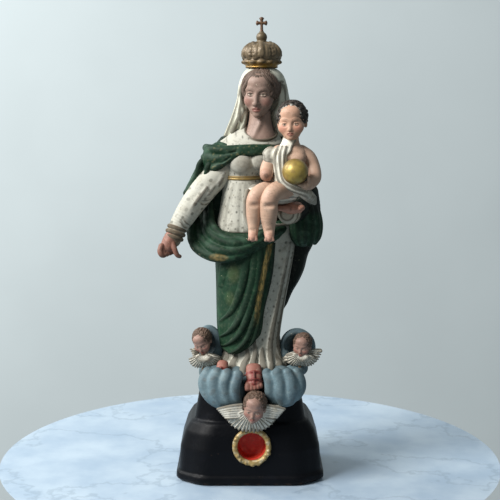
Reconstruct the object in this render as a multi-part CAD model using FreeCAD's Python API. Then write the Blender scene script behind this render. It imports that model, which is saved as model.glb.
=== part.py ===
"""A carved and painted wooden Madonna and Child, about 400 mm tall with its crown, on a black pedestal.

Frame: millimetres, +Z up, the figure faces -Y, and the origin is the centre of the pedestal's underside.
Right and left in the names of body pieces are the figure's own. The mother's right arm is at -X.

The statue is an assembly of carved blocks on dowels: a stepped pedestal with a relic recess, a bank of
cloud with three winged cherub heads, the draped mother, a Child who lifts off his peg in her left hand,
and a metal crown that lifts off, and turns on, the pin in the top of her head. Garments carved from the
mother's block are solids of their own, because each has its own coat of paint.
"""

import FreeCAD
import Part
import math
import os

V = FreeCAD.Vector

# ---------------------------------------------------------------- driving dimensions
HEIGHT = 400.0  # underside to the top of the crown's cross

# Pedestal: half width, half depth and corner cant of its octagonal plan, at each height.
PLINTH_TOP = 9.0
DIE_TOP = 54.0
NECK_TOP = 86.0
PLINTH_PROFILE = ((0.0, 60.5, 47.5, 19.0), (2.5, 64.0, 50.0, 20.0), (PLINTH_TOP, 64.5, 50.5, 20.0))
DIE_PROFILE = (
    (PLINTH_TOP, 62.5, 49.0, 19.0),
    (30.0, 60.8, 48.0, 19.0),
    (44.0, 56.5, 46.0, 18.0),
    (DIE_TOP, 50.5, 42.5, 16.0),
)
NECK_PROFILE = ((DIE_TOP, 49.5, 41.0, 14.0), (62.0, 47.0, 39.0, 14.0), (NECK_TOP, 43.0, 37.0, 13.0))

# Relic recess in the front of the die.
RELIC_X, RELIC_Z = 1.5, 35.0
RECESS_R = 12.2  # inside of the lining, where a relic sits
RECESS_DEPTH = 12.0
LINING_WALL = 1.2
RIM_OUTER_R = 16.3
RIM_LOBES = 14
RIM_BACK_Y, RIM_FRONT_Y = -46.5, -51.5

# Cloud bank.
CLOUD_TOP = 98.0

# Crown: its axis, its levels and its widest radius.
CROWN_X, CROWN_Y = 10.0, 1.0
CROWN_BASE = 356.8
CROWN_WAIST = 365.4
CROWN_CROWN = 378.4  # where the dome closes under the ball
CROWN_R = 16.4
CROWN_WALL = 1.2
CROWN_RIBS = 8
BALL_R = 5.0

# Pins and dowels, and the running clearance of the two pins that come out.
CROWN_PIN_R = 1.6
CHILD_PIN_R = 2.0
DOWEL_R = 4.0
SMALL_DOWEL_R = 1.8
RUNNING_GAP = 0.05
SEAT_GAP = 0.3

# The Child lifts off along his peg, up and towards the viewer.
CHILD_LIFT = V(0.15, -0.5, 0.853)
CHILD_SEAT = V(27.0, -42.0, 249.0)
FOREARM_HOLE_R = 1.6
FOREARM_HOLE_DEPTH = 5.0

os.makedirs("parts", exist_ok=True)
shapes = {}


# ---------------------------------------------------------------- shape helpers
def loft(sections, points=12):
    """A smooth solid through ellipses, each (z, centre x, centre y, half width, half depth)."""
    wires = []
    for z, cx, cy, rx, ry in sections:
        ring = [
            V(cx + rx * math.cos(t), cy + ry * math.sin(t), z)
            for t in (2 * math.pi * i / points for i in range(points))
        ]
        curve = Part.BSplineCurve()
        curve.interpolate(Points=ring, PeriodicFlag=True)
        wires.append(Part.Wire([curve.toShape()]))
    return Part.makeLoft(wires, True, False)


def canted(z, half_w, half_d, cant):
    """The octagonal plan of the pedestal at one height."""
    x0, y0 = half_w - cant, half_d - cant * 0.8
    corners = [(x0, -half_d), (half_w, -y0), (half_w, y0), (x0, half_d)]
    corners += [(-x, y) for x, y in reversed(corners)]
    return Part.makePolygon([V(x, y, z) for x, y in corners + corners[:1]])


def ellipsoid(centre, radii, tilt=0.0, about=V(0, 1, 0)):
    """An ellipsoid of three half sizes, tilted in degrees about an axis through its centre."""
    stretch = FreeCAD.Matrix()
    stretch.scale(*radii)
    ball = Part.makeSphere(1.0).transformGeometry(stretch)
    ball.rotate(V(0, 0, 0), about, tilt)
    ball.translate(V(*centre))
    return ball


def limb(stations, aspect=1.0):
    """A smooth tapering solid along stations (x, y, z, radius). Its flat ends face along the limb."""
    points = [V(*s[:3]) for s in stations]
    wires = []
    level = None
    for i, (point, station) in enumerate(zip(points, stations)):
        along = points[min(i + 1, len(points) - 1)] - points[max(i - 1, 0)]
        along.normalize()
        level = level or along.cross(V(0, 0.35, 1))
        level = (level - along * level.dot(along)).normalize()  # carried along the limb without a twist
        wires.append(ring_across(point, level, level.cross(along), station[3], aspect))
    return Part.makeLoft(wires, True, False)


def ring_across(centre, level, steep, radius, aspect):
    """A closed ring in the plane of two directions, wider by aspect in the first of them."""
    count = 10
    ring = [
        centre + level * (radius * aspect * math.cos(t)) + steep * (radius * math.sin(t))
        for t in (2 * math.pi * i / count for i in range(count))
    ]
    curve = Part.BSplineCurve()
    curve.interpolate(Points=ring, PeriodicFlag=True)
    return Part.Wire([curve.toShape()])


def box(x0, x1, y0, y1, z0, z1):
    return Part.makeBox(x1 - x0, y1 - y0, z1 - z0, V(x0, y0, z0))


def rod(start, end, radius):
    along = end - start
    return Part.makeCylinder(radius, along.Length, start, along)


def turned(profile, x, y):
    """A solid of revolution about a vertical axis, from its closed (radius, z) outline."""
    outline = [V(r, 0, z) for r, z in profile]
    face = Part.Face(Part.makePolygon(outline + outline[:1]))
    solid = face.revolve(V(0, 0, 0), V(0, 0, 1), 360)
    solid.translate(V(x, y, 0))
    return solid


def keep(name, shape, smallest=2.0):
    """Stores a piece's solids, without crumbs that a cut has left."""
    solids = [s for s in shape.Solids if s.Volume > smallest]
    shapes[name] = solids[0] if len(solids) == 1 else Part.makeCompound(solids)


def carve(name, shape, *inner):
    """Stores a piece fitted over the inner pieces that are there already."""
    for other in inner:
        if shape.BoundBox.intersect(shapes[other].BoundBox):
            shape = shape.cut(shapes[other])
    keep(name, shape)


def drill(name, pins):
    """Cuts a stored piece's holes for the pins that run through it."""
    for pin in pins:
        meets = shapes[name].BoundBox.intersect(pin.BoundBox)
        if meets and shapes[name].common(pin).Volume > 0.01:
            keep(name, shapes[name].cut(pin))


# ---------------------------------------------------------------- pedestal
def pedestal():
    """Plinth, bell-shaped die and neck, and the lined relic recess with its gilt rim."""
    keep("pedestal_plinth", Part.makeLoft([canted(*s) for s in PLINTH_PROFILE], True, True))
    die = Part.makeLoft([canted(*s) for s in DIE_PROFILE], True, False)
    neck = Part.makeLoft([canted(*s) for s in NECK_PROFILE], True, False)
    mouth = V(RELIC_X, RIM_BACK_Y, RELIC_Z)
    inward = V(0, 1, 0)
    seat = V(RELIC_X, RIM_FRONT_Y - 20, RELIC_Z)
    lining_r = RECESS_R + LINING_WALL
    recess_back = mouth.y + RECESS_DEPTH
    lining = Part.makeCylinder(lining_r, RECESS_DEPTH + LINING_WALL, mouth, inward)
    lining = lining.cut(Part.makeCylinder(RECESS_R, RECESS_DEPTH, mouth, inward))
    keep("relic_lining", lining)
    rim = rim_outline(mouth).extrude(V(0, RIM_FRONT_Y - RIM_BACK_Y, 0))
    rim = rim.cut(Part.makeCylinder(RECESS_R + 0.3, 30, seat, inward))
    keep("relic_rim", rim)
    bore = Part.makeCylinder(lining_r, recess_back + LINING_WALL - seat.y, seat, inward)
    ledge = Part.makeCylinder(RIM_OUTER_R + 0.6, mouth.y - seat.y, seat, inward)
    keep("pedestal_die", die.cut([bore, ledge]))
    keep("pedestal_neck", neck)


def rim_outline(centre):
    """The scalloped face of the rim: one shallow wave for each lobe."""
    count = RIM_LOBES * 6
    wave = 0.5
    points = []
    for i in range(count):
        angle = 2 * math.pi * i / count
        radius = RIM_OUTER_R - wave + wave * math.cos(RIM_LOBES * angle)
        points.append(centre + V(radius * math.cos(angle), 0, radius * math.sin(angle)))
    curve = Part.BSplineCurve()
    curve.interpolate(Points=points, PeriodicFlag=True)
    return Part.Face(Part.Wire([curve.toShape()]))


# ---------------------------------------------------------------- mother
def mother_body():
    """Tunic, sleeves, hands and feet: the inner layer, which the mantle is fitted over."""
    keep("tunic_skirt", loft((
        (CLOUD_TOP, 2, -6, 31, 27), (106, 1, -5, 27.5, 24), (122, -1, -3, 24, 20),
        (150, -1, -1, 23.5, 19), (190, -2, -2, 25, 19), (222, -5, -5, 22, 19),
    )))
    keep("tunic_bodice", loft((
        (222, -5, -5, 22, 19), (244, -6, -6, 18.5, 17), (262, -6, -6, 16, 14),
        (276, -5, -7, 20, 14.5), (288, -3, -4, 24, 13), (297, 0, 0, 19, 11),
    )))
    waist = loft(((260.8, -6, -6, 17.4, 15.4), (266.0, -6, -6, 17.4, 15.4)))
    carve("belt", waist, "tunic_bodice")
    sleeve = limb((
        (-18, -5, 279, 10), (-36, -10, 257, 11), (-50, -15, 239, 10),
        (-58, -18, 228, 8.8), (-62.5, -20, 220, 7.6),
    ))
    carve("right_sleeve", sleeve, "tunic_bodice", "belt")
    cuff = limb(((-62.5, -20, 220, 8.2), (-64.5, -21.2, 216, 8.2), (-66.5, -22.5, 212, 7.4)))
    carve("right_cuff", cuff, "right_sleeve")
    hand = ellipsoid((-69.5, -24.5, 204.5), (8.2, 8, 9.5), 25)
    thumb = limb(((-66, -26, 204, 3.2), (-61.5, -28, 199, 2.8), (-60, -28, 195.5, 2)))
    carve("right_hand", hand.fuse(thumb), "right_cuff", "right_sleeve")
    sleeve = limb((
        (22, 0, 284, 11), (42, 6, 266, 11), (50, 4, 246, 10), (46, -10, 236, 9), (38, -24, 234.5, 8),
    ))
    carve("left_sleeve", sleeve, "tunic_bodice", "belt")
    cuff = limb(((38.6, -23, 234.5, 9), (35, -30, 234.5, 9.6), (33, -34, 235, 10)), 1.15)
    carve("left_cuff", cuff, "left_sleeve")
    carve("left_hand", ellipsoid((31, -41, 240.0), (14, 10, 5.0), 4), "left_cuff", "left_sleeve")
    carve("right_foot", ellipsoid((-23.6, -36, 101), (5.2, 9, 4.6)), "tunic_skirt")
    carve("left_foot", ellipsoid((3.4, -44, 95.8), (7.6, 13, 5.6), 35, V(1, 0, 0)), "tunic_skirt")


def mantle():
    """The green mantle: apron, hip swag, chest band and capes, and the back."""
    inner = ("tunic_skirt", "tunic_bodice", "belt", "right_sleeve", "left_sleeve", "left_cuff")
    apron = loft((
        (112, -9, -12, 14, 16), (124, -9, -10, 19, 19), (150, -8, -6, 22, 20.5),
        (180, -6, -5, 25.5, 22), (204, -7, -5, 26.5, 23),
    ))
    carve("mantle_apron", apron, "tunic_skirt")
    swag = limb((
        (-40, 10, 224, 9), (-40, -6, 211, 11), (-24, -20, 205, 11.5),
        (-4, -25, 205, 11), (14, -23, 211, 9), (25, -12, 219, 7),
    ))
    carve("mantle_swag", swag, *inner, "mantle_apron")
    carve("yoke", ellipsoid((1, -3, 291.5), (30, 17, 9)), "tunic_bodice", "right_sleeve", "left_sleeve")
    band = loft((
        (271, -1, -1, 33, 17), (278, -1, -1, 37, 19), (286, -1, -1, 37, 19),
        (292, 0, 0, 33, 16), (296, 1, 0, 24, 11),
    ))
    carve("mantle_shoulders", band.cut(breast_opening()), *inner, "yoke")
    cape = limb(((-26, 2, 284, 11), (-40, 1, 267, 11.5), (-50, -4, 255, 8.5), (-55, -8, 249, 3.5)))
    carve("mantle_cape_right", cape, *inner, "yoke", "mantle_shoulders")
    fall = limb(((52, 2, 250, 7), (51, -6, 236, 12), (48, -10, 222, 13), (46, -11, 206, 9)))
    carve("mantle_fall_left", fall, *inner, "left_hand")
    back = loft((
        (104, 0, 6, 24, 17), (138, 1, 6, 26, 18.5), (160, 4, 7, 33, 20),
        (180, 8, 8, 40, 22), (207, 5, 8, 52, 23), (236, 7, 8, 54.5, 23),
        (260, 3, 7, 48, 22), (284, 1, 5, 37, 20), (298, 2, 6, 30, 14),
    ))
    front_of_back = box(-90, 90, -40, -1, 90, 310)
    carve(
        "mantle_back", back.cut(front_of_back), *inner,
        "mantle_apron", "mantle_swag", "yoke", "mantle_shoulders", "mantle_cape_right", "mantle_fall_left",
    )


def breast_opening():
    """The arch below the chest band where the tunic shows."""
    return ellipsoid((-4, -20, 264), (19, 16, 19))


def mother_head():
    """Head and neck, hair and veil, with the bore for the crown's pin."""
    neck = loft(((288, 3, -5, 14, 9), (298, 6, -4.5, 11, 9), (308, 8, -3, 8.5, 8.5), (322, 9, -2, 8, 8.5)))
    body = ("tunic_bodice", "yoke", "mantle_back", "mantle_shoulders", "mantle_cape_right")
    carve("mother_neck", neck, "tunic_bodice")
    carve("yoke", shapes["yoke"], "mother_neck")
    pin_hole = rod(V(CROWN_X, CROWN_Y, 334.5), V(CROWN_X, CROWN_Y, 362), CROWN_PIN_R + RUNNING_GAP)
    head = ellipsoid((9, -4, 335.8), (13.6, 17, 20.4))
    keep("mother_head", head.cut([shapes["mother_neck"], pin_hole]))
    hair = ellipsoid((11, -1, 338), (18.3, 17.5, 18.6)).cut(ellipsoid((7.5, -21, 333), (12.5, 12, 17)))
    carve("mother_hair", hair.cut(pin_hole), "mother_head", "mother_neck")
    veil = loft((
        (297.5, 10, 11, 33, 14), (306, 11, 9, 30.5, 16), (315, 11, 6, 27, 18),
        (329, 11.3, 4, 22.8, 19.5), (342, 11, 3, 20.9, 19.5), (350, 11, 2.5, 18, 17.5),
        (355, 10.5, 2, 13.5, 13.5), (357.8, 10, 1, 7, 7),
    ))
    veil = veil.cut([box(-60, 80, -40, -7.5, 280, 345), ellipsoid((8, -22, 333), (17, 15, 22)), pin_hole])
    carve("veil", veil, "mother_head", "mother_hair", "mother_neck", *body)


# ---------------------------------------------------------------- cloud and cherubs
def cloud():
    """The bank of cloud that the mother stands on, with hoods of cloud behind the two side cherubs."""
    top = loft(((NECK_TOP, 2, 0, 43, 36), (92, 2.5, -2, 45, 41), (CLOUD_TOP, 2.5, -3, 43.5, 39)))
    carve("cloud_top", top, "left_foot", "right_foot")
    rests = ("pedestal_neck", "pedestal_die", "cloud_top", "left_foot", "right_foot", "tunic_skirt")
    carve("cloud_lobe_right", ellipsoid((-20, -41, 85), (21, 13, 16), -8), *rests)
    carve("cloud_lobe_left", ellipsoid((25, -40, 86), (19.5, 12.5, 15.5), 8), *rests, "cloud_lobe_right")
    hoods = {"right": ((-39.5, -5, 115), (12.5, 9.5, 18)), "left": ((42.5, -5, 113.3), (13.5, 9.5, 16.2))}
    for side, (centre, radii) in hoods.items():
        carve(f"cloud_hood_{side}", ellipsoid(centre, radii), "cloud_top", "tunic_skirt", "mantle_apron")


def cherubs():
    """A winged head on the pedestal's front and one under each hood."""
    clouds = ("cloud_top", "cloud_lobe_right", "cloud_lobe_left", "cloud_hood_right", "cloud_hood_left")
    figure = ("tunic_skirt", "left_foot", "right_foot", "mantle_apron")
    seated = clouds + ("pedestal_neck", "pedestal_die", "relic_rim") + figure
    heads = {
        "front": ((3.8, -55.5, 72.8), (11.8, 12.5, 12.8)),
        "right": ((-41.5, -22, 121), (8.6, 9.5, 12.6)),
        "left": ((45.2, -22, 117.5), (9.2, 9.5, 11.2)),
    }
    for side, (centre, radii) in heads.items():
        carve(f"cherub_head_{side}", ellipsoid(centre, radii), *seated)
    wings = {
        "front": front_wings(),
        "right": ellipsoid((-37, -22, 105.3), (15.8, 9.5, 8.6), 0),
        "left": ellipsoid((44.5, -20, 106), (19.5, 9.5, 8.4), -10),
    }
    for side, wing in wings.items():
        carve(f"cherub_wings_{side}", wing, *seated, f"cherub_head_{side}")


def front_wings():
    """Two short wings that meet in a ruff of feathers under the chin."""
    half = ((0, 71.0), (14, 71.4), (25, 70.6), (29, 66.5), (25, 60.0), (16, 54.0), (7, 50.8))
    outline = list(half) + [(0, 49.8)] + [(-x, z) for x, z in reversed(half[1:])]
    curve = Part.BSplineCurve()
    curve.interpolate(Points=[V(1.0 + x, -55.5, z) for x, z in outline], PeriodicFlag=True)
    return Part.Face(Part.Wire([curve.toShape()])).extrude(V(0, 20, 0))


# ---------------------------------------------------------------- Child
def child():
    """The Child, on his own peg. His right forearm is lost, and only its peg hole is left."""
    keep("child_torso", loft((
        (249.5, 27, -42, 12.5, 10.5), (260, 29, -42, 14, 11.5), (276, 32, -41, 15, 11),
        (288, 34, -40, 13.5, 9.5), (294, 34.5, -39.5, 6.5, 6), (299, 35, -39.5, 5.5, 5.5),
    )))
    carve("child_head", ellipsoid((35, -40, 312), (12.8, 14, 16.4)), "child_torso")
    hair = ellipsoid((35.3, -37.5, 314.3), (14.6, 14.8, 15.2)).cut(ellipsoid((34, -54, 307), (11.5, 9, 13)))
    carve("child_hair", hair, "child_head", "child_torso")
    stump = limb(((22, -41, 285, 6.5), (15.5, -43, 276, 6.6), (14, -48, 270.5, 6.2), (13.5, -53.5, 268.5, 5.8)))
    hole_mouth = V(13.5, -53.5, 268.5)
    hole_way = V(-0.5, -5.5, -2.0).normalize()
    hole = rod(hole_mouth - hole_way * FOREARM_HOLE_DEPTH, hole_mouth + hole_way * 10, FOREARM_HOLE_R)
    carve("child_right_arm", stump.cut(hole), "child_torso")
    keep("orb", ellipsoid((37, -62.5, 272.3), (11, 11, 11)))
    arm = limb((
        (44, -39, 286, 6.5), (51.5, -41, 276, 6.4), (54, -47, 266, 5.6),
        (50, -56, 261.5, 4.6), (44, -61, 259.5, 3.8),
    ))
    carve("child_left_arm", arm, "child_torso", "orb")
    leg = limb((
        (24, -44, 255, 8.4), (10, -52, 254.5, 7.6), (3.5, -55.5, 248, 7.3),
        (3, -55, 235, 6.3), (2.8, -55, 224, 4.8), (2, -58.5, 217, 4),
    ))
    carve("child_right_leg", leg, "child_torso", "child_right_arm")
    leg = limb((
        (32, -46, 255.5, 8.4), (21, -56, 255, 7.8), (16, -60, 248.5, 7.5),
        (15.5, -59, 235, 6.6), (15.5, -58.5, 224, 5), (16, -62, 217, 4.2),
    ))
    carve("child_left_leg", leg, "child_torso", "child_right_leg", "orb")
    wrap = loft(((246, 33, -41, 14, 10), (250, 34, -41, 18, 13), (256, 35, -41, 17, 12.5)))
    tail = limb(((42, -44, 258, 5), (49, -42, 250, 5), (53, -38, 244.5, 3)))
    sash = ellipsoid((28, -41.5, 270), (16.5, 12.6, 25), 12).cut(box(30, 60, -70, -10, 230, 300))
    limbs = ("child_right_arm", "child_left_arm", "child_right_leg", "child_left_leg")
    carve("child_cloth", wrap.fuse([tail, sash]), "child_torso", "child_head", "child_hair", *limbs, "orb")


# ---------------------------------------------------------------- crown
def crown():
    """Band, domed top with ribs, ball and cross, and the floor that turns on the pin."""
    x, y = CROWN_X, CROWN_Y
    flare = CROWN_R - 0.8
    flare_z = 361.5
    inside = flare - CROWN_WALL
    foot = 13.2
    band = (
        (foot - CROWN_WALL, CROWN_BASE), (foot, CROWN_BASE), (flare, flare_z),
        (flare, CROWN_WAIST), (inside, CROWN_WAIST), (inside, flare_z),
    )
    keep("crown_band", turned(band, x, y))
    steps = 7
    outer = [dome_point(i / steps) for i in range(steps + 1)]
    inner = [(max(r - CROWN_WALL, 0.0), z - (0.0 if i == 0 else CROWN_WALL)) for i, (r, z) in enumerate(outer)]
    closed = [(0.0, CROWN_CROWN)] + outer[::-1] + inner
    keep("crown_dome", turned(closed, x, y))
    ribs = []
    for i in range(CROWN_RIBS):
        stations = [(x + r, y, z + 0.2, 1.5) for r, z in (dome_point(t) for t in (0.04, 0.25, 0.5, 0.75, 0.97))]
        rib = limb(stations)
        rib.rotate(V(x, y, 0), V(0, 0, 1), 360.0 * (i + 0.5) / CROWN_RIBS)
        ribs.append(rib)
    ball = ellipsoid((x, y, CROWN_CROWN + BALL_R * 0.86), (BALL_R, BALL_R, BALL_R))
    carve("crown_ball", ball, "crown_dome")
    keep("crown_ribs", Part.makeCompound(ribs).cut([shapes["crown_dome"], shapes["crown_ball"]]))
    carve("crown_cross", cross(x, y), "crown_ball")
    floor_z = CROWN_WAIST - 2.2
    floor = Part.makeCylinder(inside, 1.6, V(x, y, floor_z))
    bore = Part.makeCylinder(CROWN_PIN_R + RUNNING_GAP, 10, V(x, y, floor_z - 4))
    keep("crown_floor", floor.cut(bore))
    collar = Part.makeCylinder(3.2, floor_z - SEAT_GAP - 358.4, V(x, y, 358.4))
    keep("crown_pin", Part.makeCylinder(CROWN_PIN_R, 31, V(x, y, 335.5)).fuse(collar))


def dome_point(t):
    """A point of the dome's outline, (radius, z), from its springing at t = 0 to its top at t = 1."""
    top_r = 3.0
    angle = math.radians(-12 + 102 * t)
    shoulder = math.cos(angle) ** 0.75
    radius = top_r + (CROWN_R - top_r) * shoulder if t < 1 else top_r
    z_low, z_high = math.sin(math.radians(-12)), 1.0
    z = CROWN_WAIST + (CROWN_CROWN - CROWN_WAIST) * (math.sin(angle) - z_low) / (z_high - z_low)
    return radius, z


def cross(x, y):
    """A small Latin cross with arms that widen to their ends."""
    foot, arm_z, thick = CROWN_CROWN + BALL_R * 1.8, HEIGHT - 5.0, 1.8
    half = thick / 2
    side = [
        (0.9, foot), (0.8, arm_z - 1.2), (3.2, arm_z - 0.9), (4.4, arm_z - 1.9),
        (4.4, arm_z + 1.9), (3.2, arm_z + 0.9), (0.8, arm_z + 1.2), (1.6, HEIGHT),
    ]
    outline = side + [(-dx, z) for dx, z in reversed(side)]
    points = [V(x + dx, y - half, z) for dx, z in outline]
    return Part.Face(Part.makePolygon(points + points[:1])).extrude(V(0, thick, 0))


# ---------------------------------------------------------------- dowels
def dowels():
    """Round dowels in tight holes between the carved blocks, and the Child's peg in its running hole."""
    thin = SMALL_DOWEL_R
    heads = ("cherub_head_front", "cherub_head_right", "cherub_head_left")
    wings = ("cherub_wings_front", "cherub_wings_right", "cherub_wings_left")
    clouds = ("cloud_top", "cloud_lobe_right", "cloud_lobe_left", "cloud_hood_right", "cloud_hood_left")
    hidden = {
        "figure_dowels": (
            [(V(x, 2, 62), V(x, 2, 128), DOWEL_R) for x in (-10, 14)],
            ("pedestal_neck", "cloud_top", "tunic_skirt"),
        ),
        "wrist_dowel": (
            [(V(-56, -17.5, 231), V(-68.5, -23.5, 207), thin)],
            ("right_sleeve", "right_cuff", "right_hand"),
        ),
        "left_hand_dowel": (
            [(V(40, -20, 235), V(33, -39, 238), thin)],
            ("left_sleeve", "left_cuff", "left_hand"),
        ),
        "cherub_dowels": (
            [
                (V(3.8, -54, 72), V(3.8, -30, 72), thin),
                (V(-41, -22, 116), V(-40, -22, 93), thin),
                (V(45, -22, 113), V(42, -22, 93), thin),
            ],
            heads + wings + clouds + ("pedestal_neck",),
        ),
        "orb_pin": ([(V(34, -48, 272), V(36.5, -60, 272), 1.0)], ("child_torso", "orb", "child_cloth")),
    }
    for name, (rods, holed) in hidden.items():
        pins = [rod(start, end, radius) for start, end, radius in rods]
        for other in holed:
            drill(other, pins)
        keep(name, Part.makeCompound(pins))
    lift = V(CHILD_LIFT).normalize()
    peg_foot, peg_top = CHILD_SEAT - lift * 12.5, CHILD_SEAT + lift * 12
    for name in ("child_torso", "child_cloth", "child_left_leg"):
        drill(name, [rod(peg_foot, peg_top, CHILD_PIN_R)])
    keep("child_peg", rod(peg_foot, peg_top, CHILD_PIN_R))
    running = rod(peg_foot - lift * 0.5, CHILD_SEAT, CHILD_PIN_R + RUNNING_GAP)
    for name in ("left_hand", "left_cuff"):
        drill(name, [running])


def main():
    pedestal()
    mother_body()
    mantle()
    mother_head()
    cloud()
    cherubs()
    child()
    crown()
    dowels()
    for name, shape in shapes.items():
        shape.exportStep(f"parts/{name}.step")
        if not shape.isValid():
            print("not valid:", name)
    print(len(shapes), "nodes")


main()
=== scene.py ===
"""Looks for the carved and painted Madonna: every garment, head, cloud and moulding is modelled as a solid
of signed distances, in millimetres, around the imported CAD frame, and painted by procedural materials.

Each piece is a Clay block. Forms are melted into it or cut from it, and it is turned into a mesh that rides
on its CAD body and replaces the plain CAD nodes. Places come from the CAD boxes. A piece's own offsets are
in millimetres from a mark on its node.
"""

import math

import bpy
import numpy as np
import openvdb
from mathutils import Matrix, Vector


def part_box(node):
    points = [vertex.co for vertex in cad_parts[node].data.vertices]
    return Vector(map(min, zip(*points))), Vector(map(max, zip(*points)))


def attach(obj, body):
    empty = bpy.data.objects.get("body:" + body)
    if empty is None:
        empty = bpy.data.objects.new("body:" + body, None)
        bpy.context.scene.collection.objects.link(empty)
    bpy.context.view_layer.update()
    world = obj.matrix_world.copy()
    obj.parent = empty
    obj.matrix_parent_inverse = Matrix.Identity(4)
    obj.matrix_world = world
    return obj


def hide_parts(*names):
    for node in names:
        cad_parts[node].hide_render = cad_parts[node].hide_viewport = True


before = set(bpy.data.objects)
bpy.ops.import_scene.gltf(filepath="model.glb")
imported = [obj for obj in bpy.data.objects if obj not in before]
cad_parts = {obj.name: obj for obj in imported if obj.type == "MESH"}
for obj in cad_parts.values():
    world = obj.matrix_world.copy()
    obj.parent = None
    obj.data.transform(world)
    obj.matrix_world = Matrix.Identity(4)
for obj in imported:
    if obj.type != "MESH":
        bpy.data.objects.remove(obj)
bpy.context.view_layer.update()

MM = 0.001
FAR = 9.0  # mm, the distance kept where nothing is near
REACH = 1.6  # mm, how far beyond a form its distance is worked out
COARSE = 1.0


# ---------------------------------------------------------------- clay: solids as signed distance
def vec(*xyz):
    """A point or a direction."""
    return np.array(xyz, float)


def mark(node, u=0.5, v=0.5, w=0.5):
    """A point of a CAD node's box, in millimetres. u, v and w run from 0 to 1 along X, Y and Z."""
    low, high = (np.array(corner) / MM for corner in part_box(node))
    return low + (high - low) * (u, v, w)


def turning(yaw=0.0, pitch=0.0, roll=0.0):
    """Rotation matrix: roll about Y, then pitch about X, then yaw about Z, in degrees."""
    a, b, c = np.radians((yaw, pitch, roll))
    about_z = [[math.cos(a), -math.sin(a), 0], [math.sin(a), math.cos(a), 0], [0, 0, 1]]
    about_x = [[1, 0, 0], [0, math.cos(b), -math.sin(b)], [0, math.sin(b), math.cos(b)]]
    about_y = [[math.cos(c), 0, math.sin(c)], [0, 1, 0], [-math.sin(c), 0, math.cos(c)]]
    return np.array(about_z) @ np.array(about_x) @ np.array(about_y)


def melt(a, b, soft):
    """The smaller of two distances, rounded where they meet over a width of soft."""
    if soft <= 0:
        return np.minimum(a, b)
    near = np.maximum(soft - np.abs(a - b), 0) / soft
    return np.minimum(a, b) - near * near * (soft * 0.25)


def curve(points, count):
    """A smooth Catmull-Rom line through rows of numbers, sampled evenly by span."""
    rows = np.array(points, float)
    if len(rows) < 3:
        t = np.linspace(0, 1, max(count, 2))[:, None]
        return rows[0] * (1 - t) + rows[-1] * t
    ends = np.vstack((2 * rows[0] - rows[1], rows, 2 * rows[-1] - rows[-2]))
    at = np.linspace(0, len(rows) - 1, count)
    i = np.minimum(at.astype(int), len(rows) - 2)
    t = (at - i)[:, None]
    a, b, c, d = ends[i], ends[i + 1], ends[i + 2], ends[i + 3]
    return 0.5 * (
        2 * b + (c - a) * t + (2 * a - 5 * b + 4 * c - d) * t**2 + (3 * b - a - 3 * c + d) * t**3
    )


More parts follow.
